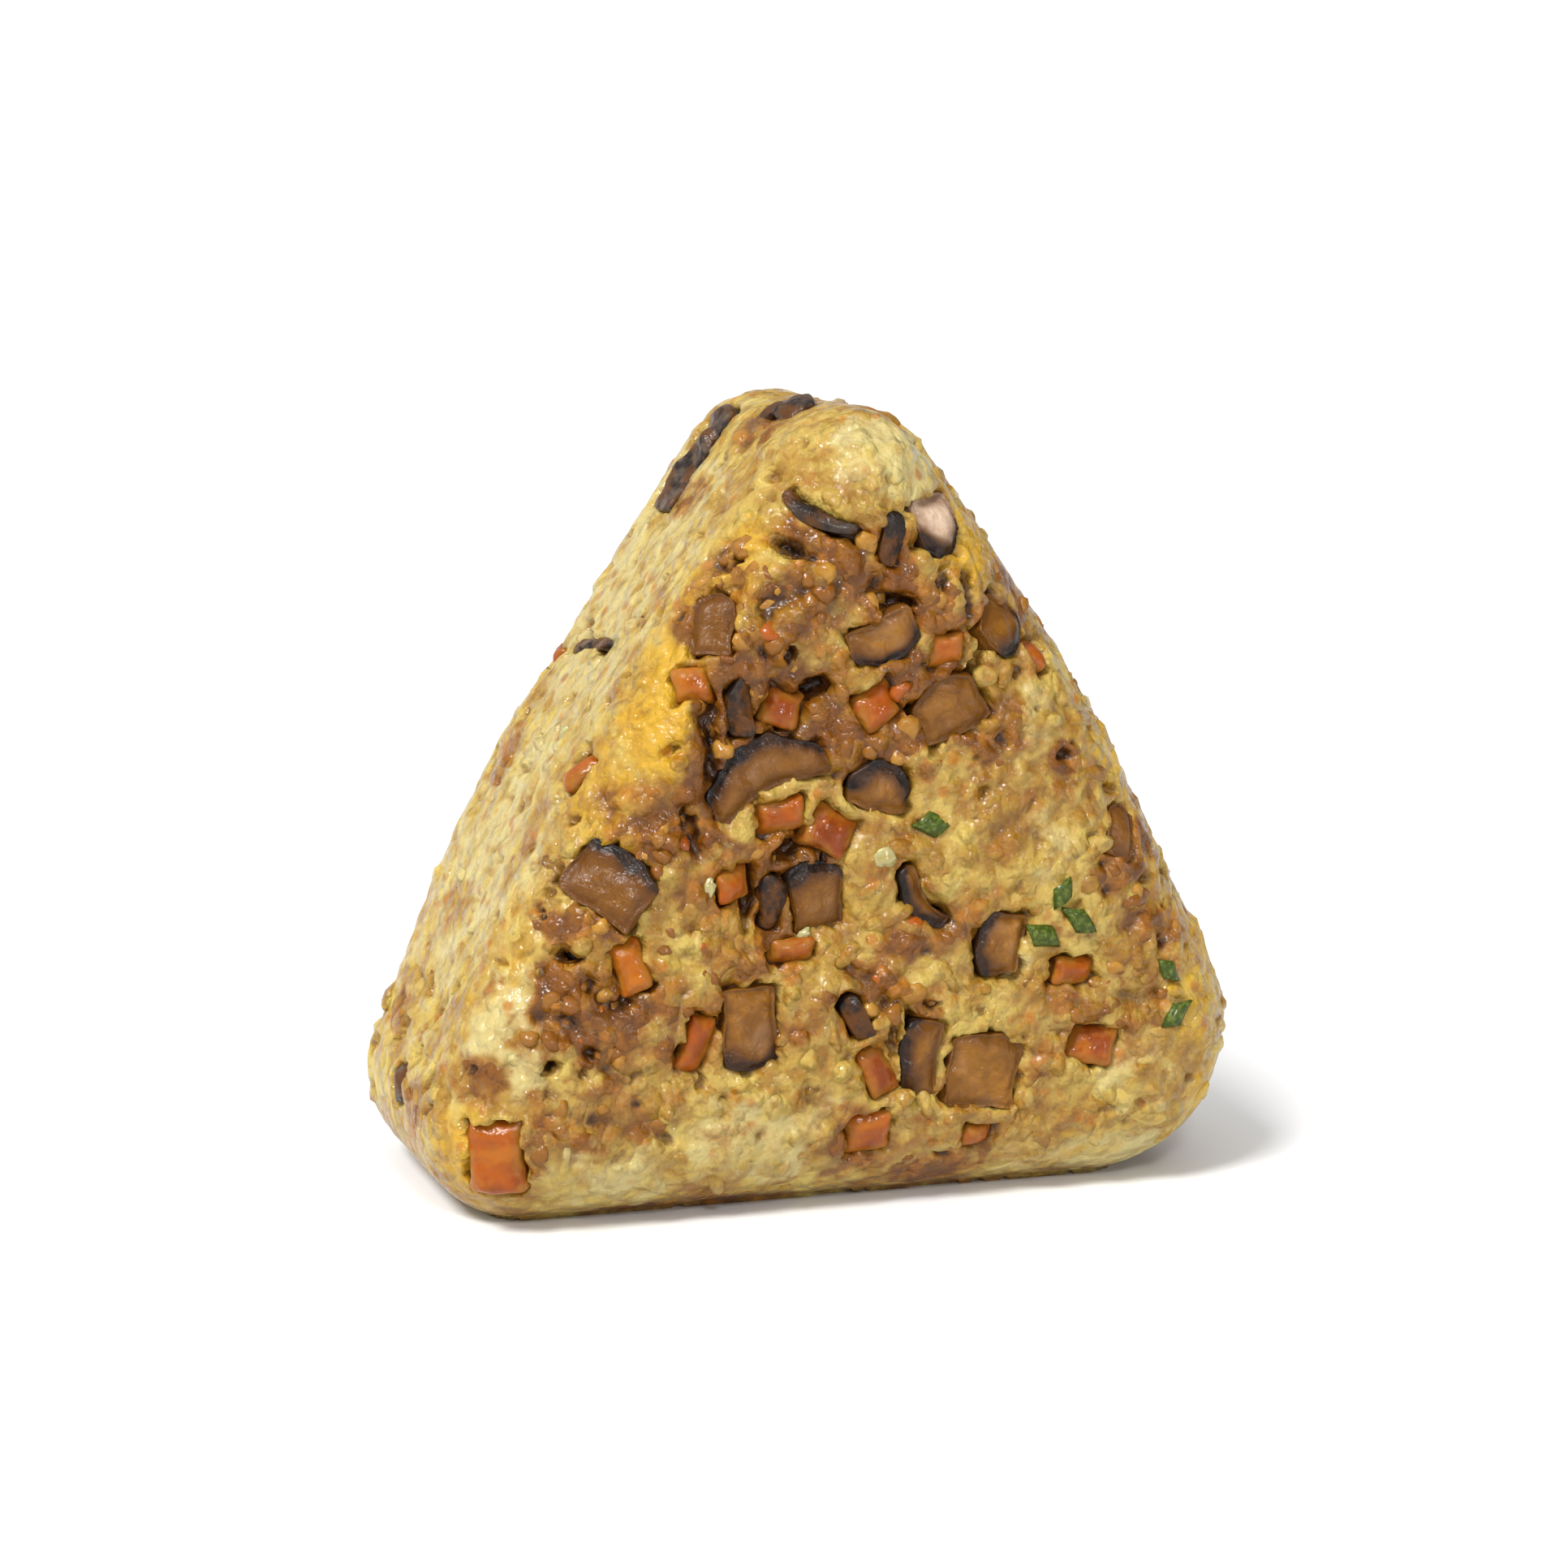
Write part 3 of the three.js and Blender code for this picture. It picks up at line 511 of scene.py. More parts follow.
def store(mesh, name, values):
    """Keeps a number for each point of a mesh, for its material and for scattering."""
    attribute = mesh.attributes.new(name, "FLOAT", "POINT")
    attribute.data.foreach_set("value", np.asarray(values, np.float32))


def points_of(mesh):
    """The points of a mesh, in millimetres."""
    co = np.empty(len(mesh.vertices) * 3, np.float32)
    mesh.vertices.foreach_get("co", co)
    return co.reshape(-1, 3) / MM


def edges_of(faces):
    """Each edge of a triangle mesh once, as pairs of points."""
    pairs = np.concatenate([faces[:, [0, 1]], faces[:, [1, 2]], faces[:, [2, 0]]])
    return np.unique(np.sort(pairs, axis=1), axis=0)


def blurred(values, edges, turns, share=0.5):
    """Values smoothed over a mesh by moving each towards the mean of its neighbours."""
    count = np.bincount(edges.ravel(), minlength=len(values))
    for _ in range(turns):
        near = np.bincount(edges[:, 0], values[edges[:, 1]], len(values))
        near += np.bincount(edges[:, 1], values[edges[:, 0]], len(values))
        values = values + share * (near - count * values) / np.maximum(count, 1)
    return values


def local_axes(n, turn):
    """Axes on a surface: up as near as it can be, turned about the normal."""
    n = Vector(n).normalized()
    up = Vector((0, 0, 1))
    y = (up - n * up.dot(n)).normalized()
    x = y.cross(n)
    c, s = math.cos(math.radians(turn)), math.sin(math.radians(turn))
    return x * c + y * s, y * c - x * s, n


def topping_nodes():
    """The names of the slices and dice."""
    return sorted(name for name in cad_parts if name.startswith(("mushroom", "carrot")))


class Footprint:
    """Where a topping comes through the rice: the outline of its outer face in the plane of that face."""

    def __init__(self, name):
        bm = clean_copy(name)
        points = np.array([v.co for v in bm.verts]) / MM
        centre = points.mean(0)
        rough = Vector(block_normal(onto_block(centre[None]))[0])
        mean = sum((f.normal * f.calc_area() for f in bm.faces if f.normal.dot(rough) > 0.9), Vector())
        normal = mean.normalized()
        self.x, self.y, _ = (np.array(a) for a in local_axes(normal, 0))
        outer = {f for f in bm.faces if f.normal.dot(normal) > 0.4}
        rim = [[v.co / MM for v in e.verts] for e in bm.edges
               if sum(f in outer for f in e.link_faces) == 1]
        bm.free()
        self.normal = np.array(normal)
        self.rim = np.array(rim)
        self.top = (points @ self.normal).max()
        self.middle = centre + self.normal * (self.top - centre @ self.normal)
        away = self.rim.reshape(-1, 3) - self.middle
        self.reach = np.hypot(away @ self.x, away @ self.y).max()

    def outside(self, p):
        """How far points lie outside the outline, seen along the normal; negative inside."""
        flat = [np.stack([ends @ self.x, ends @ self.y], 1) for ends in (self.rim[:, 0], self.rim[:, 1])]
        return flat_distance(p @ self.x, p @ self.y, *flat)


def tree_of(points):
    """A tree that finds points by their place."""
    tree = KDTree(len(points))
    for i, p in enumerate(points):
        tree.insert(p, i)
    tree.balance()
    return tree


def kernel_heights(points, normals, sizes, spacing, seed):
    """The relief of kernels packed over the surface, and the tone of each."""
    draw = drawn(seed)
    tree = tree_of(points)
    length, width, height = sizes
    order = draw.permutation(len(points))
    taken = {}
    relief = np.full(len(points), -1.0)
    tone = np.full(len(points), 0.5)
    for at in order:
        p = points[at]
        key = tuple((p // spacing).astype(int))
        around = (taken.get((key[0] + i, key[1] + j, key[2] + k)) for i in (-1, 0, 1)
                  for j in (-1, 0, 1) for k in (-1, 0, 1))
        if any(q is not None and np.sum((q - p) ** 2) < spacing ** 2 for q in around):
            continue
        taken[key] = p
        angle, lift, grow, shade = draw.random(4)
        x, y, _ = local_axes(normals[at], 360 * angle)
        half_long, half_wide = length / 2 * (0.8 + 0.4 * grow), width / 2 * (0.85 + 0.3 * grow)
        near = tree.find_range(p, half_long)
        index = np.fromiter((i for _, i, _ in near), int, len(near))
        off = points[index] - p
        u, v = off @ np.array(x) / half_long, off @ np.array(y) / half_wide
        round_off = np.abs(u) ** 2.4 + np.abs(v) ** 2.2
        inside = round_off < 1
        top = 0.3 * (lift - 0.6) + height / 3 * (np.sqrt(1 - round_off[inside]) - 0.3)
        index = index[inside]
        higher = top > relief[index]
        relief[index[higher]] = top[higher]
        tone[index[higher]] = shade
    return relief, tone


def clean_copy(name):
    """A copy of a CAD node's mesh with its corners merged, as a bmesh."""
    bm = bmesh.new()
    bm.from_mesh(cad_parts[name].data)
    bmesh.ops.remove_doubles(bm, verts=bm.verts, dist=1e-6)
    return bm


def applied(obj, name):
    """The object's evaluated mesh as a plain object of that name; the first object is removed."""
    depsgraph = bpy.context.evaluated_depsgraph_get()
    mesh = bpy.data.meshes.new_from_object(obj.evaluated_get(depsgraph), depsgraph=depsgraph)
    drop(obj)
    mesh.name = name
    plain = bpy.data.objects.new(name, mesh)
    bpy.context.scene.collection.objects.link(plain)
    return plain


def drop(obj):
    """Removes an object and its mesh."""
    mesh = obj.data
    bpy.data.objects.remove(obj)
    if mesh is not None and mesh.users == 0:
        bpy.data.meshes.remove(mesh)


def finish_piece(obj, material, slot, *nodes):
    """Gives a piece its material and its body, and hides the nodes that it stands for; the slot is not used.
    """
    obj.data.materials.clear()
    obj.data.materials.append(material)
    obj.data.shade_smooth()
    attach(obj, BODY)
    if nodes:
        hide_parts(*nodes)
    return obj


# Materials

class Nodes:
    """A node tree under construction: a short call adds a node and links or sets its inputs."""

    def __init__(self, tree):
        self.tree = tree

    def add(self, kind, inputs=None, **settings):
        """Adds a node, with settings by name and with inputs by name or number."""
        made = self.tree.nodes.new(kind)
        for key, value in settings.items():
            setattr(made, key, value)
        for socket, value in (inputs or {}).items():
            self.join(value, made.inputs[socket])
        return made

    def join(self, value, socket):
        """Links a socket, or sets a number or colour, on an input."""
        if isinstance(value, bpy.types.NodeSocket):
            self.tree.links.new(value, socket)
        elif socket.type == "RGBA":
            socket.default_value = (*value, 1)
        else:
            socket.default_value = value


class Finish(Nodes):
    """A material under construction: each call adds a pattern, a mix or a relief."""

    def __init__(self, name):
        self.material = bpy.data.materials.new(name)
        self.material.use_nodes = True
        super().__init__(self.material.node_tree)
        self.shader = self.tree.nodes["Principled BSDF"]
        self.place = self.add("ShaderNodeTexCoord").outputs["Object"]

    def attribute(self, name):
        """A number that is kept for each point of the mesh."""
        return self.add("ShaderNodeAttribute", attribute_name=name).outputs["Fac"]

    def noise(self, scale, detail=3, roughness=0.55, distortion=0.0):
        """Noise over Object coordinates; scale is in features per metre."""
        return self.add("ShaderNodeTexNoise", {
            "Vector": self.place, "Scale": scale, "Detail": detail, "Roughness": roughness,
            "Distortion": distortion,
        }).outputs["Fac"]

    def crumbs(self, scale):
        """Uneven cells: a random number for each cell, and the distance from its middle."""
        waves = self.add("ShaderNodeTexNoise", {"Vector": self.place, "Scale": scale * 1.6})
        shift = self.add("ShaderNodeVectorMath", {
            0: waves.outputs["Color"], 1: (MM, MM, MM), 2: self.place,
        }, operation="MULTIPLY_ADD")
        made = self.add("ShaderNodeTexVoronoi", {"Vector": shift.outputs[0], "Scale": scale})
        parted = self.add("ShaderNodeSeparateColor", {0: made.outputs["Color"]})
        return parted.outputs[0], made.outputs["Distance"]

    def cells(self, scale):
        """The distance from the middle of even cells."""
        made = self.add("ShaderNodeTexVoronoi", {"Vector": self.place, "Scale": scale})
        return made.outputs["Distance"]

    def centred(self, value, height):
        """Noise of about 0 to 1 turned into noise of that height about 0."""
        return self.times(self.plus(value, -0.5), height * 2)

    def step(self, value, low, high, to_low=0.0, to_high=1.0):
        """Maps low..high to to_low..to_high, eased and held at the ends."""
        return self.add("ShaderNodeMapRange", {
            "Value": value, "From Min": low, "From Max": high, "To Min": to_low, "To Max": to_high,
        }, interpolation_type="SMOOTHSTEP").outputs["Result"]

    def plus(self, a, b):
        """The sum of two numbers."""
        return self.add("ShaderNodeMath", {0: a, 1: b}, operation="ADD").outputs["Value"]

    def times(self, a, b):
        """The product of two numbers."""
        return self.add("ShaderNodeMath", {0: a, 1: b}, operation="MULTIPLY").outputs["Value"]

    def mix(self, share, a, b):
        """Mixes two colours."""
        return self.add("ShaderNodeMix", {"Factor": share, 6: a, 7: b}, data_type="RGBA").outputs[2]

    def bump(self, height, distance, strength=1.0, after=None):
        """Adds relief; distance is in metres."""
        inputs = {"Height": height, "Distance": distance, "Strength": strength}
        if after is not None:
            inputs["Normal"] = after
        return self.add("ShaderNodeBump", inputs).outputs["Normal"]

    def set(self, **inputs):
        """Sets or links inputs of the shader by their names, with _ for a space."""
        for key, value in inputs.items():
            self.join(value, self.shader.inputs[key.replace("_", " ")])
        return self.material


def rice_material():
    """Cooked rice: cream to golden, stained by sauce in soft patches, with orange specks, moist, with painted
    shade in its creases, between its kernels and in its deepest pits.
    """
    s = bpy.context.scene.rice_settings
    f = Finish("rice_seasoned")
    crease, tone, gold = f.attribute("crease"), f.attribute("tone"), f.attribute("gold")
    pale = f.step(f.plus(f.attribute("pale"), f.centred(f.noise(420, 3), 0.95)), 0.17, 0.8)
    clouds = f.plus(f.centred(f.noise(260, 3, 0.6), 0.55), f.centred(f.noise(800, 3, 0.6), 0.35))
    stain = f.plus(f.attribute("stain"), clouds)
    piece, away = f.crumbs(520)
    base = f.mix(f.step(f.noise(340, 4, 0.65), 0.4, 0.6), s.cream, s.straw)
    base = f.mix(f.step(tone, 0.45, 0, 0, 0.8), base, s.straw)
    base = f.mix(f.step(f.noise(1300, 2), 0.5, 0.64, 0, 0.5), base, s.tea_stain_and_shade)
    # Painted shade: the rice darkens towards tea at the borders of the kernel cells, where the rounded relief
    # dips between kernels.
    base = f.mix(f.step(away, 0.4, 0.75, 0, 0.35), base, s.tea_stain_and_shade)
    base = f.mix(f.step(piece, 0.3, 1, 0, 0.6), base, s.butter)
    base = f.mix(f.step(tone, 0.4, 1, 0, 0.8), base, s.butter)
    base = f.mix(f.times(pale, 0.8), base, s.pearl)
    base = f.mix(f.step(f.plus(gold, f.centred(f.noise(500, 3), 0.6)), 0.1, 0.75), base, s.golden)
    uneven = f.plus(stain, f.times(f.centred(piece, 0.35), f.step(stain, 0.1, 0.7)))
    thin = f.mix(f.step(uneven, -0.05, 0.85), base, s.tea_stain_and_shade)
    orange = f.times(f.step(f.noise(420, 2), 0.48, 0.64), f.step(stain, 0.1, 0.7, 0, 0.75))
    sauce = f.mix(f.step(uneven, 0.48, 1.25), f.mix(orange, thin, s.speck), s.sauce)
    # Painted shade: darker in the creases of the relief, and darker still in the creases and between the
    # kernels of stained rice, where it is partly sauce gathered there.
    crease_shaded = f.mix(f.step(crease, 0.05, 0.8, 0, 0.6), sauce, s.tea_stain_and_shade)
    gathered = f.times(f.step(crease, 0.05, 0.7), f.step(stain, 0, 0.75))
    crease_shaded = f.mix(gathered, crease_shaded, s.sauce_and_crease_shade)
    between = f.times(f.step(away, 0.42, 0.75), f.step(stain, 0.1, 0.9, 0, 0.5))
    crease_shaded = f.mix(between, crease_shaded, s.sauce_and_crease_shade)
    kept = f.step(f.noise(210, 1), 0.46, 0.58, 0, 0.8)
    spots = f.times(f.step(f.cells(380), 0.32, 0.12), kept)
    spotted = f.mix(spots, crease_shaded, s.speck)
    # Painted shade: near-black in the deepest pits.
    deep = f.mix(f.step(crease, 1.45, 2), spotted, s.pit_shade)
    rounded = f.bump(f.step(away, 0.75, 0.1), 0.0006, 0.75)
    lumps = f.bump(f.noise(560, 3, 0.5), 0.0008, 0.8, after=rounded)
    glints = f.bump(f.noise(1500, 2, 0.5), 0.0003, 0.8, after=rounded)
    rough = f.step(f.noise(1100, 2), 0.35, 0.65, 0.35, 0.55)
    return f.set(Base_Color=deep, Roughness=rough, Normal=lumps, Specular_IOR_Level=0.1,
                 Subsurface_Weight=0.45, Subsurface_Scale=0.0006, Subsurface_Radius=(1.0, 0.65, 0.35),
                 Coat_Weight=0.5, Coat_Roughness=0.08, Coat_Normal=glints)


def mushroom_material():
    """Simmered mushroom: brown to beige flesh, streaked and wet, with a dark skin along one edge."""
    s = bpy.context.scene.topping_settings
    f = Finish("mushroom_simmered")
    tone, skin, cap, rim = (f.attribute(mark) for mark in ("tone", "skin", "cap", "rim"))
    flesh = f.mix(f.step(tone, 0, 0.6), s.flesh_dark, s.flesh)
    flesh = f.mix(f.step(tone, 0.6, 1), flesh, s.flesh_light)
    cloud = f.step(f.noise(330, 4, 0.6, 0.4), 0.38, 0.66, 0, 0.6)
    flesh = f.mix(cloud, flesh, s.flesh_dark)
    fibres = f.step(f.noise(1300, 3, 0.6), 0.5, 0.75, 0, 0.3)
    flesh = f.mix(fibres, flesh, s.flesh)
    flesh = f.mix(f.step(f.noise(240, 2), 0.5, 0.7, 0, 0.08), flesh, s.flesh_light)
    flesh = f.mix(f.step(f.attribute("fade"), -0.5, 0.9, 0, 0.7), flesh, s.flesh_dark)
    flesh = f.mix(f.times(rim, f.step(f.noise(500), 0.3, 0.6, 0.2, 0.7)), flesh, s.flesh_dark)
    flesh = f.mix(f.step(skin, 0, 0.55, 0, 0.6), flesh, s.flesh_dark)
    edge = f.mix(f.step(skin, 0.4, 0.78, 0, 0.85), flesh, s.skin_brown)
    greyed = f.times(cap, f.step(f.noise(700, 3), 0.4, 0.62, 0, 1.2))
    outer = f.mix(greyed, s.skin_dark, s.skin_grey)
    worn = f.times(f.step(cap, 0, 0.05, 0.3, 1), f.step(f.noise(480, 3), 0.4, 0.6, 0, 0.9))
    outer = f.mix(worn, outer, s.flesh_dark)
    skinned = f.mix(f.step(skin, 0.74, 0.84), edge, outer)
    wrinkles = f.bump(f.noise(420, 3, 0.55, 0.6), 0.0008, 0.6)
    glints = f.bump(f.noise(1000, 3, 0.6), 0.0004, 0.8, after=wrinkles)
    return f.set(Base_Color=skinned, Roughness=f.step(f.noise(600), 0.3, 0.7, 0.3, 0.5), Normal=wrinkles,
                 Specular_IOR_Level=0.1, Subsurface_Weight=0.2, Subsurface_Scale=0.001,
                 Subsurface_Radius=(1.0, 0.5, 0.25), Coat_Weight=0.25, Coat_Roughness=0.14,
                 Coat_Normal=glints)


def carrot_material():
    """Cooked carrot: orange, soft, browner where sauce has soaked in."""
    s = bpy.context.scene.topping_settings
    f = Finish("carrot_cooked")
    tone, rim = f.attribute("tone"), f.attribute("rim")
    body = f.mix(f.step(tone, 0, 0.5), s.carrot_deep, s.carrot)
    body = f.mix(f.step(tone, 0.5, 1), body, s.carrot_light)
    body = f.mix(f.step(f.noise(350, 3), 0.45, 0.65, 0, 0.7), body, s.carrot)
    body = f.mix(f.step(f.noise(420, 3, 0.6), 0.5, 0.68, 0, 0.6), body, s.carrot_light)
    sauced = f.mix(f.step(f.noise(260, 3), 0.47, 0.66, 0, 0.7), body, s.carrot_deep)
    clinging = f.times(rim, f.step(f.noise(600), 0.35, 0.6, 0, 0.85))
    sauced = f.mix(clinging, sauced, s.carrot_film)
    lumps = f.bump(f.noise(450, 2), 0.001, 0.6)
    fine = f.bump(f.noise(800, 2, 0.5), 0.0003, 0.8)
    return f.set(Base_Color=sauced, Roughness=f.step(f.noise(700), 0.3, 0.7, 0.25, 0.42), Normal=lumps,
                 Specular_IOR_Level=0.1, Subsurface_Weight=0.45, Subsurface_Scale=0.001,
                 Subsurface_Radius=(1.0, 0.35, 0.1), Coat_Weight=0.3, Coat_Roughness=0.1,
                 Coat_Normal=fine)


def mince_material():
    """Crumbled mince soaked in sauce."""
    s = bpy.context.scene.topping_settings
    f = Finish("mince_in_sauce")
    tone = f.attribute("tone")
    body = f.mix(f.step(tone, 0.3, 0.9), s.mince_dark, s.mince_light)
    body = f.mix(f.step(tone, 0.9, 0.92), body, s.carrot)
    cloud = f.step(f.noise(700, 3), 0.4, 0.7, 0, 0.6)
    body = f.mix(cloud, body, s.mince_dark)
    relief = f.bump(f.noise(1300, 2), 0.0002, 0.7)
    return f.set(Base_Color=body, Roughness=f.step(f.noise(900), 0.3, 0.7, 0.25, 0.5), Normal=relief,
                 Specular_IOR_Level=0.15, Subsurface_Weight=0.15, Subsurface_Scale=0.0008,
                 Subsurface_Radius=(1.0, 0.4, 0.15), Coat_Weight=0.35, Coat_Roughness=0.1,
                 Coat_Normal=relief)


def chive_material():
    """Chive: dark green with paler ribs."""
    s = bpy.context.scene.topping_settings
    f = Finish("chive_green")
    ribs = f.step(f.noise(2200, 2), 0.4, 0.7)
    leaf = f.mix(ribs, s.chive_dark, s.chive_light)
    return f.set(Base_Color=leaf, Roughness=f.step(f.noise(900), 0.3, 0.7, 0.25, 0.45),
                 Normal=f.bump(ribs, 0.0001, 0.5), Specular_IOR_Level=0.1, Subsurface_Weight=0.15,
                 Subsurface_Scale=0.0005, Coat_Weight=0.25, Coat_Roughness=0.12)


def onion_material():
    """Onion: pale, glassy and slightly green."""
    s = bpy.context.scene.topping_settings
    f = Finish("onion_glassy")
    cloud = f.step(f.noise(600, 3), 0.3, 0.7)
    glass = f.mix(cloud, s.onion, s.onion_deep)
    return f.set(Base_Color=glass, Roughness=f.step(f.noise(900), 0.3, 0.7, 0.1, 0.25),
                 Subsurface_Weight=0.5, Subsurface_Scale=0.002, Subsurface_Radius=(1.0, 0.9, 0.6),
                 Coat_Weight=0.6, Coat_Roughness=0.08)


def floor_material():
    """Pale studio paper."""
    f = Finish("studio_paper")
    tint = f.mix(f.noise(40, 2), (0.78, 0.78, 0.78), (0.8, 0.8, 0.8))
    return f.set(Base_Color=tint, Roughness=0.9)


# What a user would change

def size_property(name, description, value):
    """A length, given in millimetres."""
    return FloatProperty(name=name, description=description, default=value * MM, unit="LENGTH",
                         precision=5)


def colour_property(name, description, value):
    """A linear colour."""
    return FloatVectorProperty(name=name, description=description, default=value, subtype="COLOR",
                               min=0, max=1)


class RiceSettings(bpy.types.PropertyGroup):
    """Sizes and colours of the rice."""

    kernel_length: size_property("Kernel length", "Length of a cooked kernel", 4.9)
    kernel_width: size_property("Kernel width", "Width of a cooked kernel", 2.1)
    kernel_height: size_property("Kernel height", "Height of a cooked kernel", 1.8)
    spacing: size_property("Kernel spacing", "Least distance between pressed kernels", 1.6)
    loose_spacing: size_property("Loose spacing", "Least distance between loose kernels", 2.7)
    detail: IntProperty(name="Detail", description="Steps along each side of the mesh", default=196,
                        min=40)
    seed: IntProperty(name="Seed", description="Start of the random draws", default=7)
    cream: colour_property("Cream", "Lightly seasoned rice", (0.4, 0.285, 0.057))
    straw: colour_property("Straw", "Seasoned rice", (0.3, 0.17, 0.018))
    butter: colour_property("Butter", "Seasoned rice where kernels stand out", (0.47, 0.35, 0.085))
    # Pearl and golden also paint bounce light at the right foot of the front.
    pearl: colour_property("Pearl", "Plain rice", (0.46, 0.385, 0.165))
    golden: colour_property("Golden", "Rice that has taken up oil", (0.46, 0.265, 0.016))
    # Tea is the colour of sauce stains, and also of the painted shade at the kernel borders and in the
    # creases of the rice.
    tea_stain_and_shade: colour_property("Tea", "Rice stained by sauce", (0.225, 0.09, 0.006))
    sauce: colour_property("Sauce", "Rice soaked in sauce", (0.15, 0.047, 0.0025))
    # Deep sauce is painted shade in the creases and between the kernels of stained rice, partly sauce
    # gathered there.
    sauce_and_crease_shade: colour_property("Deep sauce", "Sauce gathered between kernels", (0.045, 0.013, 0.0015))
    # Pit is painted shade: the near-black put into the deepest pits.
    pit_shade: colour_property("Pit", "Inside of the deepest pits", (0.02, 0.007, 0.002))
    speck: colour_property("Speck", "Orange-brown specks", (0.33, 0.12, 0.008))


class ToppingSettings(bpy.types.PropertyGroup):
    """Fineness and colours of what is mixed into the rice."""

    fineness: size_property("Fineness", "Size of the finest relief of a slice", 0.25)
    skin: size_property("Skin thickness", "Thickness of the dark skin of a mushroom", 0.75)
    flesh_light: colour_property("Light flesh", "Palest mushroom flesh", (0.66, 0.49, 0.36))
    flesh: colour_property("Flesh", "Mushroom flesh", (0.3, 0.126, 0.013))
    flesh_dark: colour_property("Dark flesh", "Darkest mushroom flesh", (0.085, 0.028, 0.003))
    skin_brown: colour_property("Brown skin", "Inner edge of the skin", (0.045, 0.018, 0.007))
    skin_dark: colour_property("Dark skin", "Outer skin of the cap", (0.01, 0.006, 0.005))
    skin_grey: colour_property("Grey skin", "Palest skin of the cap", (0.13, 0.09, 0.06))
    carrot: colour_property("Carrot", "Cooked carrot", (0.29, 0.064, 0.003))
    carrot_light: colour_property("Light carrot", "Palest carrot", (0.36, 0.115, 0.005))
    carrot_deep: colour_property("Deep carrot", "Carrot soaked in sauce", (0.17, 0.03, 0.002))
    carrot_film: colour_property("Carrot film", "Rice that clings to a carrot's edge", (0.27, 0.11, 0.012))
    mince_light: colour_property("Light mince", "Palest crumbs", (0.34, 0.165, 0.02))
    mince_dark: colour_property("Dark mince", "Darkest crumbs", (0.17, 0.058, 0.004))
    chive_light: colour_property("Light chive", "Ribs of the chive", (0.1, 0.13, 0.017))
    chive_dark: colour_property("Dark chive", "Skin of the chive", (0.035, 0.055, 0.005))
    onion: colour_property("Onion", "Glassy onion", (0.36, 0.34, 0.15))
    onion_deep: colour_property("Deep onion", "Onion that has taken up sauce", (0.3, 0.23, 0.07))


class StageSettings(bpy.types.PropertyGroup):
    """Strength of the studio light."""

    sky: FloatProperty(name="Sky", description="Brightness of the surroundings", default=0.15, min=0)
    dome: FloatProperty(name="Dome", description="Strength of the broad light from above", default=1.7,
                        min=0)
    key: FloatProperty(name="Key", description="Strength of the light from the left", default=3.35,
                       min=0)
    front: FloatProperty(name="Front", description="Power of the small front light", default=1.1,
                         min=0, unit="POWER")


# Geometry Nodes that scatter things over the rice

def scatter_tree(name, kinds, mask, sizes, seed, material):
    """A node tree that scatters the pieces of a collection over a surface where a mask allows."""
    tree = bpy.data.node_groups.new(name, "GeometryNodeTree")
    face = tree.interface
    face.new_socket("Surface", in_out="INPUT", socket_type="NodeSocketGeometry")
    for label, value in sizes.items():
        face.new_socket(label, in_out="INPUT", socket_type="NodeSocketFloat").default_value = value
    face.new_socket("Pieces", in_out="OUTPUT", socket_type="NodeSocketGeometry")
    g = Nodes(tree)
    entry = g.add("NodeGroupInput").outputs

    allowed = g.add("GeometryNodeInputNamedAttribute", {"Name": mask}, data_type="FLOAT")
    spread = g.add("GeometryNodeDistributePointsOnFaces", {
        "Mesh": entry["Surface"], "Distance Min": entry["Spacing"], "Density Max": 1e6,
        "Density Factor": allowed.outputs["Attribute"], "Seed": seed,
    }, distribute_method="POISSON").outputs
    down = g.add("ShaderNodeMath", {0: entry["Sunk"], 1: -1}, operation="MULTIPLY")
    sink = g.add("ShaderNodeVectorMath", {0: spread["Normal"], "Scale": down.outputs[0]}, operation="SCALE")
    lower = g.add("GeometryNodeSetPosition", {"Geometry": spread["Points"], "Offset": sink.outputs[0]})

    lay = g.add("FunctionNodeAlignRotationToVector", {"Vector": spread["Normal"]}, axis="Z")
    spin = g.add("FunctionNodeRandomValue", {
        "Min": (-TILT, -TILT, -math.pi), "Max": (TILT, TILT, math.pi), "Seed": seed + 1,
    }, data_type="FLOAT_VECTOR")
    turn = g.add("FunctionNodeRotateRotation", {
        "Rotation": lay.outputs["Rotation"], "Rotate By": spin.outputs["Value"],
    }, rotation_space="LOCAL")
    size = g.add("FunctionNodeRandomValue", {
        2: entry["Smallest"], 3: entry["Largest"], "Seed": seed + 2,
    }, data_type="FLOAT")
    pieces = g.add("GeometryNodeCollectionInfo", {
        "Collection": kinds, "Separate Children": True, "Reset Children": True,
    })
    put = g.add("GeometryNodeInstanceOnPoints", {
        "Points": lower.outputs["Geometry"], "Instance": pieces.outputs["Instances"], "Pick Instance": True,
        "Rotation": turn.outputs["Rotation"], "Scale": size.outputs[1],
    })

    shade = g.add("FunctionNodeRandomValue", {"Seed": seed + 3}, data_type="FLOAT")
    keep = g.add("GeometryNodeStoreNamedAttribute", {
        "Geometry": put.outputs["Instances"], "Name": "tone", "Value": shade.outputs[1],
    }, data_type="FLOAT", domain="INSTANCE")
    real = g.add("GeometryNodeRealizeInstances", {"Geometry": keep.outputs["Geometry"]})
    finish = g.add("GeometryNodeSetMaterial", {"Geometry": real.outputs["Geometry"], "Material": material})
    g.add("NodeGroupOutput", {"Pieces": finish.outputs["Geometry"]})
    return tree


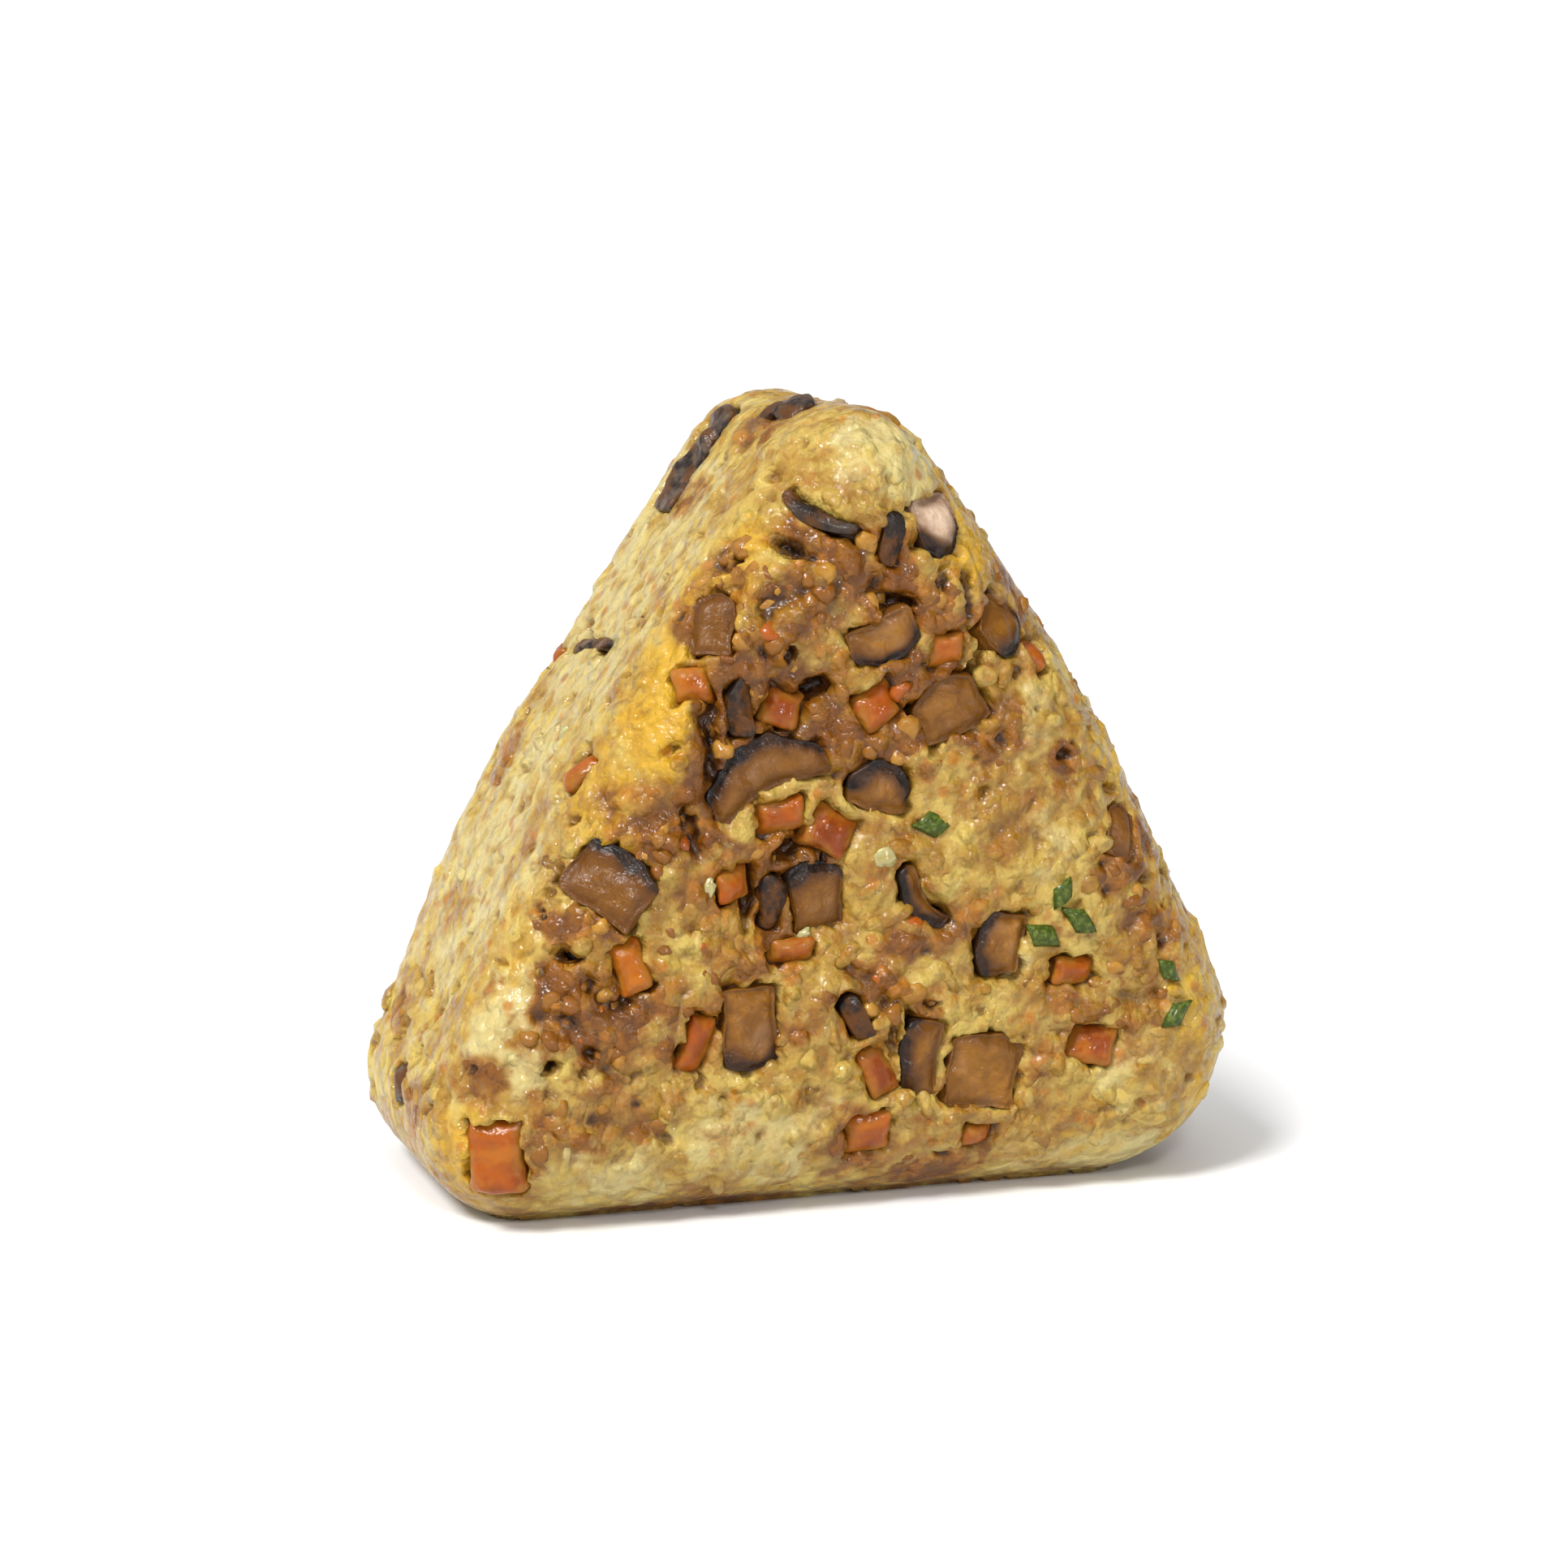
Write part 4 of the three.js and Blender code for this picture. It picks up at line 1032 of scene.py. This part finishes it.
def scattered(name, templates, mask, spacing, sunk, scales, seed, material):
    """Scatters templates over the mass of rice and returns them as one plain mesh object."""
    kinds = bpy.data.collections.new(name + "_kinds")
    for template in templates:
        bpy.context.scene.collection.objects.unlink(template)
        kinds.objects.link(template)
    sizes = {"Spacing": spacing, "Sunk": sunk, "Smallest": scales[0], "Largest": scales[1]}
    tree = scatter_tree(name + "_scatter", kinds, mask, sizes, seed, material)
    holder = bpy.data.objects.new(name + "_holder", bpy.data.objects["rice_mass"].data.copy())
    bpy.context.scene.collection.objects.link(holder)
    modifier = holder.modifiers.new("Scatter", "NODES")
    modifier.node_group = tree
    for item in tree.interface.items_tree:
        if item.name in sizes:
            modifier[item.identifier] = float(sizes[item.name])
    piece = applied(holder, name)
    for template in templates:
        drop(template)
    bpy.data.collections.remove(kinds)
    bpy.data.node_groups.remove(tree)
    return piece


def kernel_template(name, length, width, height, bend):
    """One cooked kernel: a rounded, slightly bent seed with a lumpy surface."""
    bm = bmesh.new()
    bmesh.ops.create_uvsphere(bm, u_segments=8, v_segments=7, radius=0.5)
    for v in bm.verts:
        z = v.co.z
        ball = max((1 - (2 * z) ** 2) ** 0.5, 0.2) if abs(z) < 0.5 else 1
        fat = (1 - (2 * abs(z)) ** 2.6) ** 0.5 / ball if abs(z) < 0.5 else 1
        v.co = Vector((z * length, v.co.x * width * fat, v.co.y * height * fat))
        v.co.y += bend * (v.co.x / length) ** 2 * 4
        lump = noise.noise(v.co / width * 1.1 + Vector((bend / MM * 9, 3, 0)))
        v.co += v.co.normalized() * 0.22 * width * lump
    bmesh.ops.recalc_face_normals(bm, faces=bm.faces)
    return template_from(bm, name)


def crumb_template(name, radius, seed):
    """One irregular crumb."""
    bm = bmesh.new()
    bmesh.ops.create_icosphere(bm, subdivisions=2, radius=radius)
    for v in bm.verts:
        v.co += v.co * 0.8 * noise.noise(v.co / radius * 0.9 + Vector((seed * 7.3, 0, 0)))
        v.co.z *= 0.75
    return template_from(bm, name)


def template_from(bm, name):
    """An object made from a bmesh, which is freed."""
    mesh = bpy.data.meshes.new(name)
    bm.to_mesh(mesh)
    bm.free()
    mesh.shade_smooth()
    obj = bpy.data.objects.new(name, mesh)
    bpy.context.scene.collection.objects.link(obj)
    return obj


# Operators

class RICEBALL_OT_rice(bpy.types.Operator):
    """Make the fused mass of rice over its core, with pockets for the toppings."""

    bl_idname = "riceball.rice"
    bl_label = "Rice Mass"

    def execute(self, context):
        s = context.scene.rice_settings
        points, faces = block_grid(s.detail, round(s.detail * DEEP_SHARE))
        points = onto_block(points)
        normals = block_normal(points)
        edges = edges_of(faces)
        weights = side_weights(normals)
        wobble = 0.4 * fractal(points, 6, 2) + 0.28 * fractal(points + 8, 1.9, 2)
        stain = painted(STAINS, points, normals, wobble)
        mince = painted(MINCE_AREAS, points, normals, wobble)
        gold = painted(GOLDEN, points, normals, wobble * 0.6)
        pale = painted(PALE, points, normals, wobble * 0.8)

        rise, tone = self.relief(s, points, normals, edges, weights, mince)
        down = np.minimum(1, 1 + normals[:, 2])
        shaped = points + normals * (rise * down)[:, None]
        shaped, covered = self.pockets(shaped, normals)
        shaped[:, 2] = np.where(shaped[:, 2] < FOOT_HEIGHT, 0.02, shaped[:, 2])
        rice = new_mesh_object("rice_mass", shaped, faces)

        # Crease: how far the rice lies below its blurred relief; the rice material paints shade from it in
        # creases and pits.
        height = ((shaped - points) * normals).sum(1)
        crease = np.clip((blurred(height, edges, 24, 0.6) - height) * 1.4, 0, 2)
        stain = self.soaked(points, stain, gold, pale, weights)
        flat = smoothstep(0.45, 0.9, np.max(list(weights.values()), axis=0))
        free = (1 - covered) * (normals[:, 2] > -0.6) * (0.05 + 0.95 * flat ** 2)
        plain_rice = (1 - smoothstep(0.3, 0.7, stain)) * (1 - mince) * (1 - 0.75 * weights["left"])
        crumbly = np.maximum(smoothstep(0.25, 0.75, mince), 0.35 * smoothstep(0.35, 0.7, stain))
        marks = {
            "stain": stain, "crease": crease, "tone": blurred(tone, edges, 1),
            "gold": gold * (1 - stain * 0.6), "pale": pale * (1 - stain),
            "kernel_mask": free * plain_rice, "crumb_mask": free * crumbly,
        }
        for name, values in marks.items():
            store(rice.data, name, values)
        finish_piece(rice, rice_material(), "rice", "rice_ball")
        return {"FINISHED"}

    def relief(self, s, points, normals, edges, weights, mince):
        """How far the rice rises above the smooth block, and the tone of each kernel."""
        sizes = (s.kernel_length / MM, s.kernel_width / MM, s.kernel_height / MM)
        kernels, tone = kernel_heights(points, normals, sizes, s.spacing / MM, s.seed)
        kernels = np.maximum(kernels, -0.4)
        pressed = np.clip(weights["left"] + weights["right"], 0, 1)
        kernels = kernels * (1 - np.where(kernels > 0, 0.45, 0.25) * pressed)
        chunks = 0.75 - 1.7 * np.abs(fractal(points + 40, 3, 2)) + 0.3 * fractal(points + 60, 1.3, 2)
        rough = kernels * (1 - 0.7 * mince) + mince * np.clip(chunks, -0.9, 0.6)
        rough = blurred(rough, edges, 1, 0.35)
        broad = np.clip(weights["front"] + weights["back"], 0, 1)
        rise = swelling(points, normals) + rough
        rise += 0.13 * fractal(points + 90, 1.3, 2) * (1 - 0.5 * pressed)
        rise += (0.15 + 0.35 * broad) * fractal(points + 55, 4.6, 3) + self.pits(points, weights)
        return self.calmed(rise, points, edges), tone

    def soaked(self, points, stain, gold, pale, weights):
        """The painted stains, with a mottled ground of weaker ones."""
        wide = np.clip(0.25 + 0.5 * fractal(points + 70, 8, 3), 0, 0.55)
        small = np.clip(0.02 + 0.5 * fractal(points + 33, 3.2, 2), 0, 0.4)
        ground = np.maximum(wide, small) * (1 - pale) * (1 - 0.45 * weights["left"])
        scatter = 0.5 + 0.5 * fractal(points + 15, 6, 3)
        return np.clip(np.maximum(stain * (1 + 0.5 * scatter), ground) * (1 - 0.7 * gold), 0, 1)

    def calmed(self, values, points, edges):
        """Values smoothed where the grid is crowded, so that no folds form there."""
        length = np.linalg.norm(points[edges[:, 0]] - points[edges[:, 1]], axis=1)
        return blurred(values, edges[length < CROWDED], 14, 0.6)

    def pits(self, points, weights):
        """The holes where the rice has parted."""
        depth = np.zeros(len(points))
        torn = 0.5 * fractal(points + 22, 1.7, 2)
        for side, rows in self.all_pits().items():
            u, v = side_coordinates(points, side)
            for a, b, half_a, half_b, deep, turn in rows:
                c, s = math.cos(math.radians(turn)), math.sin(math.radians(turn))
                du, dv = u - a, v - b
                away = np.hypot((du * c + dv * s) / half_a, (dv * c - du * s) / half_b)
                depth = np.minimum(depth, -deep * weights[side] * smoothstep(1.3, 0.3, away + torn))
        return depth

    def all_pits(self):
        """The pits of the table, with scattered small gaps between kernels."""
        draw = drawn(31)
        made = {side: list(rows) for side, rows in PITS.items()}
        for side, (count, low, high) in SMALL_PITS.items():
            for _ in range(count):
                a, b = low + np.subtract(high, low) * draw.random(2)
                size, length, depth, turn = draw.random(4)
                halves = (0.35 + 0.3 * size, 0.4 + 0.7 * length)
                made[side].append((a, b, *halves, 0.6 + 0.8 * depth, 180 * turn))
        return made

    def pockets(self, points, normals):
        """Lowers the rice under each topping, and brings it to the topping's edge beside it."""
        covered = np.zeros(len(points))
        for name in topping_nodes():
            outline = Footprint(name)
            near = np.nonzero(np.linalg.norm(points - outline.middle, axis=1) < outline.reach + 4)[0]
            near = near[normals[near] @ outline.normal > 0.3]
            outside = outline.outside(points[near])
            above = points[near] @ outline.normal - outline.top
            lap = fractal(points[near] + 12, 1.1, 2)
            torn = 0.3 if name in SLICES and WHOLE in SLICES[name] else 0.6
            beside = smoothstep(2.6, 0.2, outside)
            under = 1.8 * smoothstep(-0.6, 0.5, torn * lap - outside)
            wanted = np.minimum(above, 0.1 * lap - 0.1) - under
            points[near] += outline.normal * (beside * (wanted - above))[:, None]
            covered[near] = np.maximum(covered[near], smoothstep(1, 0.3, outside))
        return points, covered


class RICEBALL_OT_kernels(bpy.types.Operator):
    """Scatter loose kernels over the rice."""

    bl_idname = "riceball.kernels"
    bl_label = "Loose Kernels"

    def execute(self, context):
        s = context.scene.rice_settings
        templates = [
            kernel_template(f"kernel_{i}", s.kernel_length * share, s.kernel_width, s.kernel_height,
                            bend * MM)
            for i, (share, bend) in enumerate(LOOSE_KERNELS)
        ]
        piece = scattered("rice_kernels", templates, "kernel_mask", s.loose_spacing, KERNEL_SUNK * MM,
                          KERNEL_SCALES, s.seed, bpy.data.materials["rice_seasoned"])
        copy_marks(piece)
        finish_piece(piece, bpy.data.materials["rice_seasoned"], "rice")
        return {"FINISHED"}


def copy_marks(piece):
    """Gives the kernels the stains of the rice they lie on."""
    mass = bpy.data.objects["rice_mass"].data
    tree = tree_of([v.co for v in mass.vertices])
    nearest = [tree.find(v.co)[1] for v in piece.data.vertices]
    for name in ("stain", "gold", "pale"):
        values = np.empty(len(mass.vertices), np.float32)
        mass.attributes[name].data.foreach_get("value", values)
        store(piece.data, name, values[nearest])
    # The loose kernels get no painted crease shade.
    store(piece.data, "crease", np.zeros(len(nearest)))


class RICEBALL_OT_mince(bpy.types.Operator):
    """Scatter crumbs of mince over the brown places."""

    bl_idname = "riceball.mince"
    bl_label = "Mince"

    def execute(self, context):
        templates = [crumb_template(f"crumb_{i}", CRUMB_RADIUS * MM, i) for i in range(CRUMB_KINDS)]
        seed = context.scene.rice_settings.seed + 20
        piece = scattered("mince_crumbs", templates, "crumb_mask", CRUMB_SPACING * MM, CRUMB_SUNK * MM,
                          CRUMB_SCALES, seed, mince_material())
        finish_piece(piece, bpy.data.materials["mince_in_sauce"], "mince")
        return {"FINISHED"}


def refined(name, fineness, bend, seed):
    """A fine, softened copy of a topping's solid, in millimetres: its points and faces."""
    obj = template_from(clean_copy(name), name + "_work")
    remesh = obj.modifiers.new("Remesh", "REMESH")
    remesh.mode = "VOXEL"
    remesh.voxel_size = fineness
    smooth = obj.modifiers.new("Smooth", "SMOOTH")
    smooth.factor = 0.5
    smooth.iterations = 12
    obj = applied(obj, name + "_fine")
    points = points_of(obj.data)
    normals = np.array([v.normal for v in obj.data.vertices])
    points += normals * (0.22 * fractal(points + seed, 2.2, 2) + 0.12)[:, None]
    points += bend * np.stack([fractal(points + seed + shift, 3.4, 2) for shift in (100, 200, 300)], 1)
    faces = [tuple(f.vertices) for f in obj.data.polygons]
    drop(obj)
    return points, normals, faces


def tilted(points, outline, draw, slant):
    """How far each point sinks when a topping lies a little askew."""
    angle = 2 * math.pi * draw.random()
    way = outline.x * math.cos(angle) + outline.y * math.sin(angle)
    return slant * (np.clip((points - outline.middle) @ way / outline.reach, -1, 1) - 0.5)


def joined(name, parts, marks):
    """One object from the points, faces and marks of many parts."""
    start, all_points, all_faces = 0, [], []
    for points, faces in parts:
        all_points.append(points)
        all_faces += [tuple(i + start for i in f) for f in faces]
        start += len(points)
    obj = new_mesh_object(name, np.concatenate(all_points), all_faces)
    for mark, values in marks.items():
        store(obj.data, mark, np.concatenate(values))
    return obj


class RICEBALL_OT_mushrooms(bpy.types.Operator):
    """Make the mushroom slices from their solids, with skin along one edge."""

    bl_idname = "riceball.mushrooms"
    bl_label = "Mushroom Slices"

    def execute(self, context):
        s = context.scene.topping_settings
        parts, marks = [], {"skin": [], "tone": [], "cap": [], "rim": [], "fade": []}
        draw = drawn(3)
        for number, (name, (turn, cover, tone)) in enumerate(SLICES.items()):
            bend = 0.6 if cover == WHOLE else 0.4
            points, normals, faces = refined(name, s.fineness, bend, 11 * number)
            outline = Footprint(name)
            skin = self.skin(name, points, outline, turn, cover, s.skin / MM)
            outer = smoothstep(0.3, 0.9, normals @ outline.normal)
            dip = 0.2 if cover == WHOLE else 0.4
            sunk = outer * (0.15 * skin - 0.25 - dip * smoothstep(-1.2, 0, outline.outside(points)))
            points += outline.normal * (sunk + tilted(points, outline, draw, dip))[:, None]
            parts.append((points, faces))
            marks["skin"].append(skin)
            marks["tone"].append(np.full(len(points), 0 if cover == WHOLE else tone))
            marks["cap"].append(np.full(len(points), tone if cover == WHOLE else 0))
            marks["rim"].append(smoothstep(-1.6, -0.2, outline.outside(points)))
            _, way, _ = local_axes(outline.normal, turn)
            marks["fade"].append((points - outline.middle) @ np.array(way) / outline.reach)
        obj = joined("mushroom_slices", parts, marks)
        finish_piece(obj, mushroom_material(), "mushroom", *SLICES)
        return {"FINISHED"}

    def skin(self, name, points, outline, turn, cover, thickness):
        """From 0 in the flesh to 1 in the skin."""
        if cover == BARE:
            return np.zeros(len(points))
        if cover == WHOLE:
            return np.ones(len(points))
        _, way, _ = local_axes(outline.normal, turn)
        bm = clean_copy(name)
        up = Vector(outline.normal)
        walls = [f for f in bm.faces if f.normal.dot(way) > 0.55 and abs(f.normal.dot(up)) < 0.6]
        corners = [tuple(v.co / MM for v in f.verts) for f in walls]
        tree = BVHTree.FromPolygons([v for c in corners for v in c],
                                    [tuple(range(3 * i, 3 * i + 3)) for i in range(len(corners))])
        bm.free()
        away = np.array([tree.find_nearest(Vector(p))[3] for p in points])
        wave = 1 + 0.45 * fractal(points, 1.8, 2)
        return smoothstep(thickness * 3, thickness * 0.3, away / wave)


class RICEBALL_OT_carrots(bpy.types.Operator):
    """Make the carrot dice from their solids."""

    bl_idname = "riceball.carrots"
    bl_label = "Carrot Dice"

    def execute(self, context):
        s = context.scene.topping_settings
        draw = drawn(5)
        names = [n for n in topping_nodes() if n.startswith("carrot")]
        parts, marks = [], {"tone": [], "rim": []}
        for number, name in enumerate(names):
            points, _, faces = refined(name, s.fineness, 0.25, 17 * number + 5)
            outline = Footprint(name)
            sunk = -0.1 - 0.35 * smoothstep(-1.2, 0, outline.outside(points))
            points += outline.normal * (sunk + tilted(points, outline, draw, 0.85))[:, None]
            parts.append((points, faces))
            usual = 0.1 + 0.7 * draw.random()
            marks["tone"].append(np.full(len(points), CARROT_TONES.get(name, usual)))
            marks["rim"].append(smoothstep(-1.2, -0.2, outline.outside(points)))
        obj = joined("carrot_dice", parts, marks)
        finish_piece(obj, carrot_material(), "carrot", *names)
        return {"FINISHED"}


def rice_surface(side, a, b):
    """The point and normal of the rice at a place of a side, in metres."""
    if side in ("front", "back"):
        sign = -1 if side == "front" else 1
        start, way = Vector((a, sign * WIDTH, b)) * MM, Vector((0, -sign, 0))
    else:
        foot, along, out = slope_frame(side)
        x, z = foot + along * a + out * WIDTH
        start, way = Vector((x, b, z)) * MM, Vector((-out[0], 0, -out[1]))
    hit, point, normal, _ = bpy.data.objects["rice_mass"].ray_cast(start, way)
    if not hit:
        raise RuntimeError(f"no rice at {side} {a} {b}")
    smooth = block_normal(onto_block(np.array(point)[None] / MM))[0]
    return point, Vector(smooth)


class RICEBALL_OT_chives(bpy.types.Operator):
    """Make the snips of chive: short, half-flattened pieces of tube wall."""

    bl_idname = "riceball.chives"
    bl_label = "Chive Snips"

    def execute(self, context):
        bm = bmesh.new()
        for number, (side, a, b, turn, length) in enumerate(CHIVES):
            point, normal = rice_surface(side, a, b)
            self.snip(bm, point, local_axes(normal, turn), length * MM, number)
        obj = template_from(bm, "chive_snips")
        finish_piece(obj, chive_material(), "chive")
        return {"FINISHED"}

    def snip(self, bm, point, axes, length, number):
        """One curved leaf piece, closed, with a slanted cut."""
        x, y, n = axes
        radius, arc = SNIP_RADIUS * MM, math.radians(SNIP_ARC)
        rows = []
        for t in (-0.5, -0.17, 0.17, 0.5):
            row = []
            for r, sign in ((radius, 1), (radius - SNIP_WALL * MM, -1)):
                for k in range(SNIP_STEPS + 1):
                    angle = sign * (k / SNIP_STEPS - 0.5) * arc
                    slant = 0.3 * math.sin(angle) * length * (1 if number % 2 else -1)
                    twist = 0.12 * MM * math.sin(3 * t + number)
                    at = x * (math.sin(angle) * r + twist) + y * (t * length + slant)
                    at += n * (math.cos(angle) * r - radius + SNIP_RISE * MM)
                    row.append(bm.verts.new(point + at))
            rows.append(row)
        count = len(rows[0])
        made = [bm.faces.new(rows[0][::-1]), bm.faces.new(rows[-1])]
        for low, high in zip(rows, rows[1:]):
            made += [bm.faces.new((low[i], low[(i + 1) % count], high[(i + 1) % count], high[i]))
                     for i in range(count)]
        bmesh.ops.recalc_face_normals(bm, faces=made)


class RICEBALL_OT_onion(bpy.types.Operator):
    """Make the glassy bits of onion."""

    bl_idname = "riceball.onion"
    bl_label = "Onion Bits"

    def execute(self, context):
        bm = bmesh.new()
        for number, (side, a, b, radius) in enumerate(ONION):
            point, normal = rice_surface(side, a, b)
            x, y, n = local_axes(normal, 37 * number)
            made = bmesh.ops.create_icosphere(bm, subdivisions=3, radius=1)["verts"]
            for v in made:
                q = v.co * (1 + 0.5 * noise.noise(v.co * 1.3 + Vector((number * 5, 0, 0))))
                v.co = point + (x * q.x * 0.8 + y * q.y * 0.6 + n * (q.z * 0.32 - 0.05)) * radius * MM
        obj = template_from(bm, "onion_bits")
        finish_piece(obj, onion_material(), "rice")
        return {"FINISHED"}


class RICEBALL_OT_stage(bpy.types.Operator):
    """Set up the floor, the lights and the camera."""

    bl_idname = "riceball.stage"
    bl_label = "Studio"

    def execute(self, context):
        s = context.scene.stage_settings
        self.floor()
        self.world(s.sky)
        self.sun("dome_light", *DOME, s.dome)
        self.sun("key_light", *KEY, s.key)
        self.lamp("front_light", *FRONT_LAMP, s.front)
        self.lamp("low_light", *LOW_LAMP, s.front * LOW_LAMP_SHARE)
        self.camera()
        return {"FINISHED"}

    def floor(self):
        """A wide sheet of paper."""
        bm = bmesh.new()
        bmesh.ops.create_grid(bm, x_segments=8, y_segments=8, size=FLOOR_SIZE)
        obj = template_from(bm, "studio_floor")
        obj.data.materials.append(floor_material())

    def world(self, strength):
        """A plain sky, white near the horizon and dimmer above."""
        world = bpy.data.worlds.new("studio_sky")
        world.use_nodes = True
        g = Nodes(world.node_tree)
        place = g.add("ShaderNodeTexCoord").outputs["Generated"]
        split = g.add("ShaderNodeSeparateXYZ", {0: place}).outputs["Z"]
        height = g.add("ShaderNodeMapRange", {"Value": split, **HORIZON, "To Max": strength})
        sky = g.tree.nodes["Background"]
        g.join((1, 1, 1), sky.inputs["Color"])
        g.join(height.outputs["Result"], sky.inputs["Strength"])
        bpy.context.scene.world = world

    def sun(self, name, towards, angle, strength):
        """A sun that shines from a direction; a wide angle makes it a soft dome."""
        light = bpy.data.lights.new(name, "SUN")
        light.angle = math.radians(angle)
        light.energy = strength
        self.put(name, light, (0, 0, 0), towards)

    def lamp(self, name, place, size, power):
        """A soft square lamp that faces the rice ball."""
        light = bpy.data.lights.new(name, "AREA")
        light.size = size
        light.energy = power
        self.put(name, light, place, Vector(place) - CAMERA_AIM)

    def put(self, name, light, place, towards):
        """Adds a light that shines away from a direction."""
        obj = bpy.data.objects.new(name, light)
        obj.location = place
        obj.rotation_euler = Vector(towards).to_track_quat("Z", "Y").to_euler()
        bpy.context.scene.collection.objects.link(obj)

    def camera(self):
        """The photograph's camera."""
        azimuth, elevation = math.radians(CAMERA_AZIMUTH), math.radians(CAMERA_ELEVATION)
        back = Vector((math.sin(azimuth) * math.cos(elevation), -math.cos(azimuth) * math.cos(elevation),
                       math.sin(elevation)))
        data = bpy.data.cameras.new("photo_camera")
        data.sensor_width = SENSOR
        data.lens = FOCAL_PIXELS / IMAGE_SIDE * SENSOR
        data.shift_x = -(AIM_PIXEL[0] - IMAGE_SIDE / 2) / IMAGE_SIDE
        data.shift_y = (AIM_PIXEL[1] - IMAGE_SIDE / 2) / IMAGE_SIDE
        obj = bpy.data.objects.new("photo_camera", data)
        turned = back.to_track_quat("Z", "Y").to_matrix().to_4x4()
        rolled = turned @ Matrix.Rotation(math.radians(CAMERA_ROLL), 4, "Z")
        obj.matrix_world = Matrix.Translation(CAMERA_AIM + back * CAMERA_DISTANCE) @ rolled
        bpy.context.scene.collection.objects.link(obj)
        bpy.context.scene.camera = obj


class RICEBALL_PT_panel(bpy.types.Panel):
    """Lists the pieces of the rice ball."""

    bl_label = "Rice Ball"
    bl_space_type = "VIEW_3D"
    bl_region_type = "UI"
    bl_category = "Rice Ball"

    def draw(self, context):
        scene = context.scene
        for settings in (scene.rice_settings, scene.topping_settings, scene.stage_settings):
            box = self.layout.box()
            for name in settings.__annotations__:
                box.prop(settings, name)
        for operator in OPERATORS:
            self.layout.operator(operator.bl_idname)


SETTINGS = (RiceSettings, ToppingSettings, StageSettings)
OPERATORS = (
    RICEBALL_OT_rice, RICEBALL_OT_kernels, RICEBALL_OT_mince, RICEBALL_OT_mushrooms,
    RICEBALL_OT_carrots, RICEBALL_OT_chives, RICEBALL_OT_onion, RICEBALL_OT_stage,
)


def register():
    for cls in (*SETTINGS, *OPERATORS, RICEBALL_PT_panel):
        bpy.utils.register_class(cls)
    bpy.types.Scene.rice_settings = PointerProperty(type=RiceSettings)
    bpy.types.Scene.topping_settings = PointerProperty(type=ToppingSettings)
    bpy.types.Scene.stage_settings = PointerProperty(type=StageSettings)


def unregister():
    del bpy.types.Scene.rice_settings, bpy.types.Scene.topping_settings, bpy.types.Scene.stage_settings
    for cls in (RICEBALL_PT_panel, *reversed(OPERATORS), *reversed(SETTINGS)):
        bpy.utils.unregister_class(cls)


def plain(corners):
    """Corners as plain lists of numbers."""
    return [[round(float(v), 6) for v in corner] for corner in corners]


def main():
    register()
    bpy.context.scene.view_settings.view_transform = "Standard"
    bpy.ops.riceball.rice()
    bpy.ops.riceball.kernels()
    bpy.ops.riceball.mince()
    bpy.ops.riceball.mushrooms()
    bpy.ops.riceball.carrots()
    bpy.ops.riceball.chives()
    bpy.ops.riceball.onion()
    bpy.ops.riceball.stage()


if __name__ == "__main__":
    main()
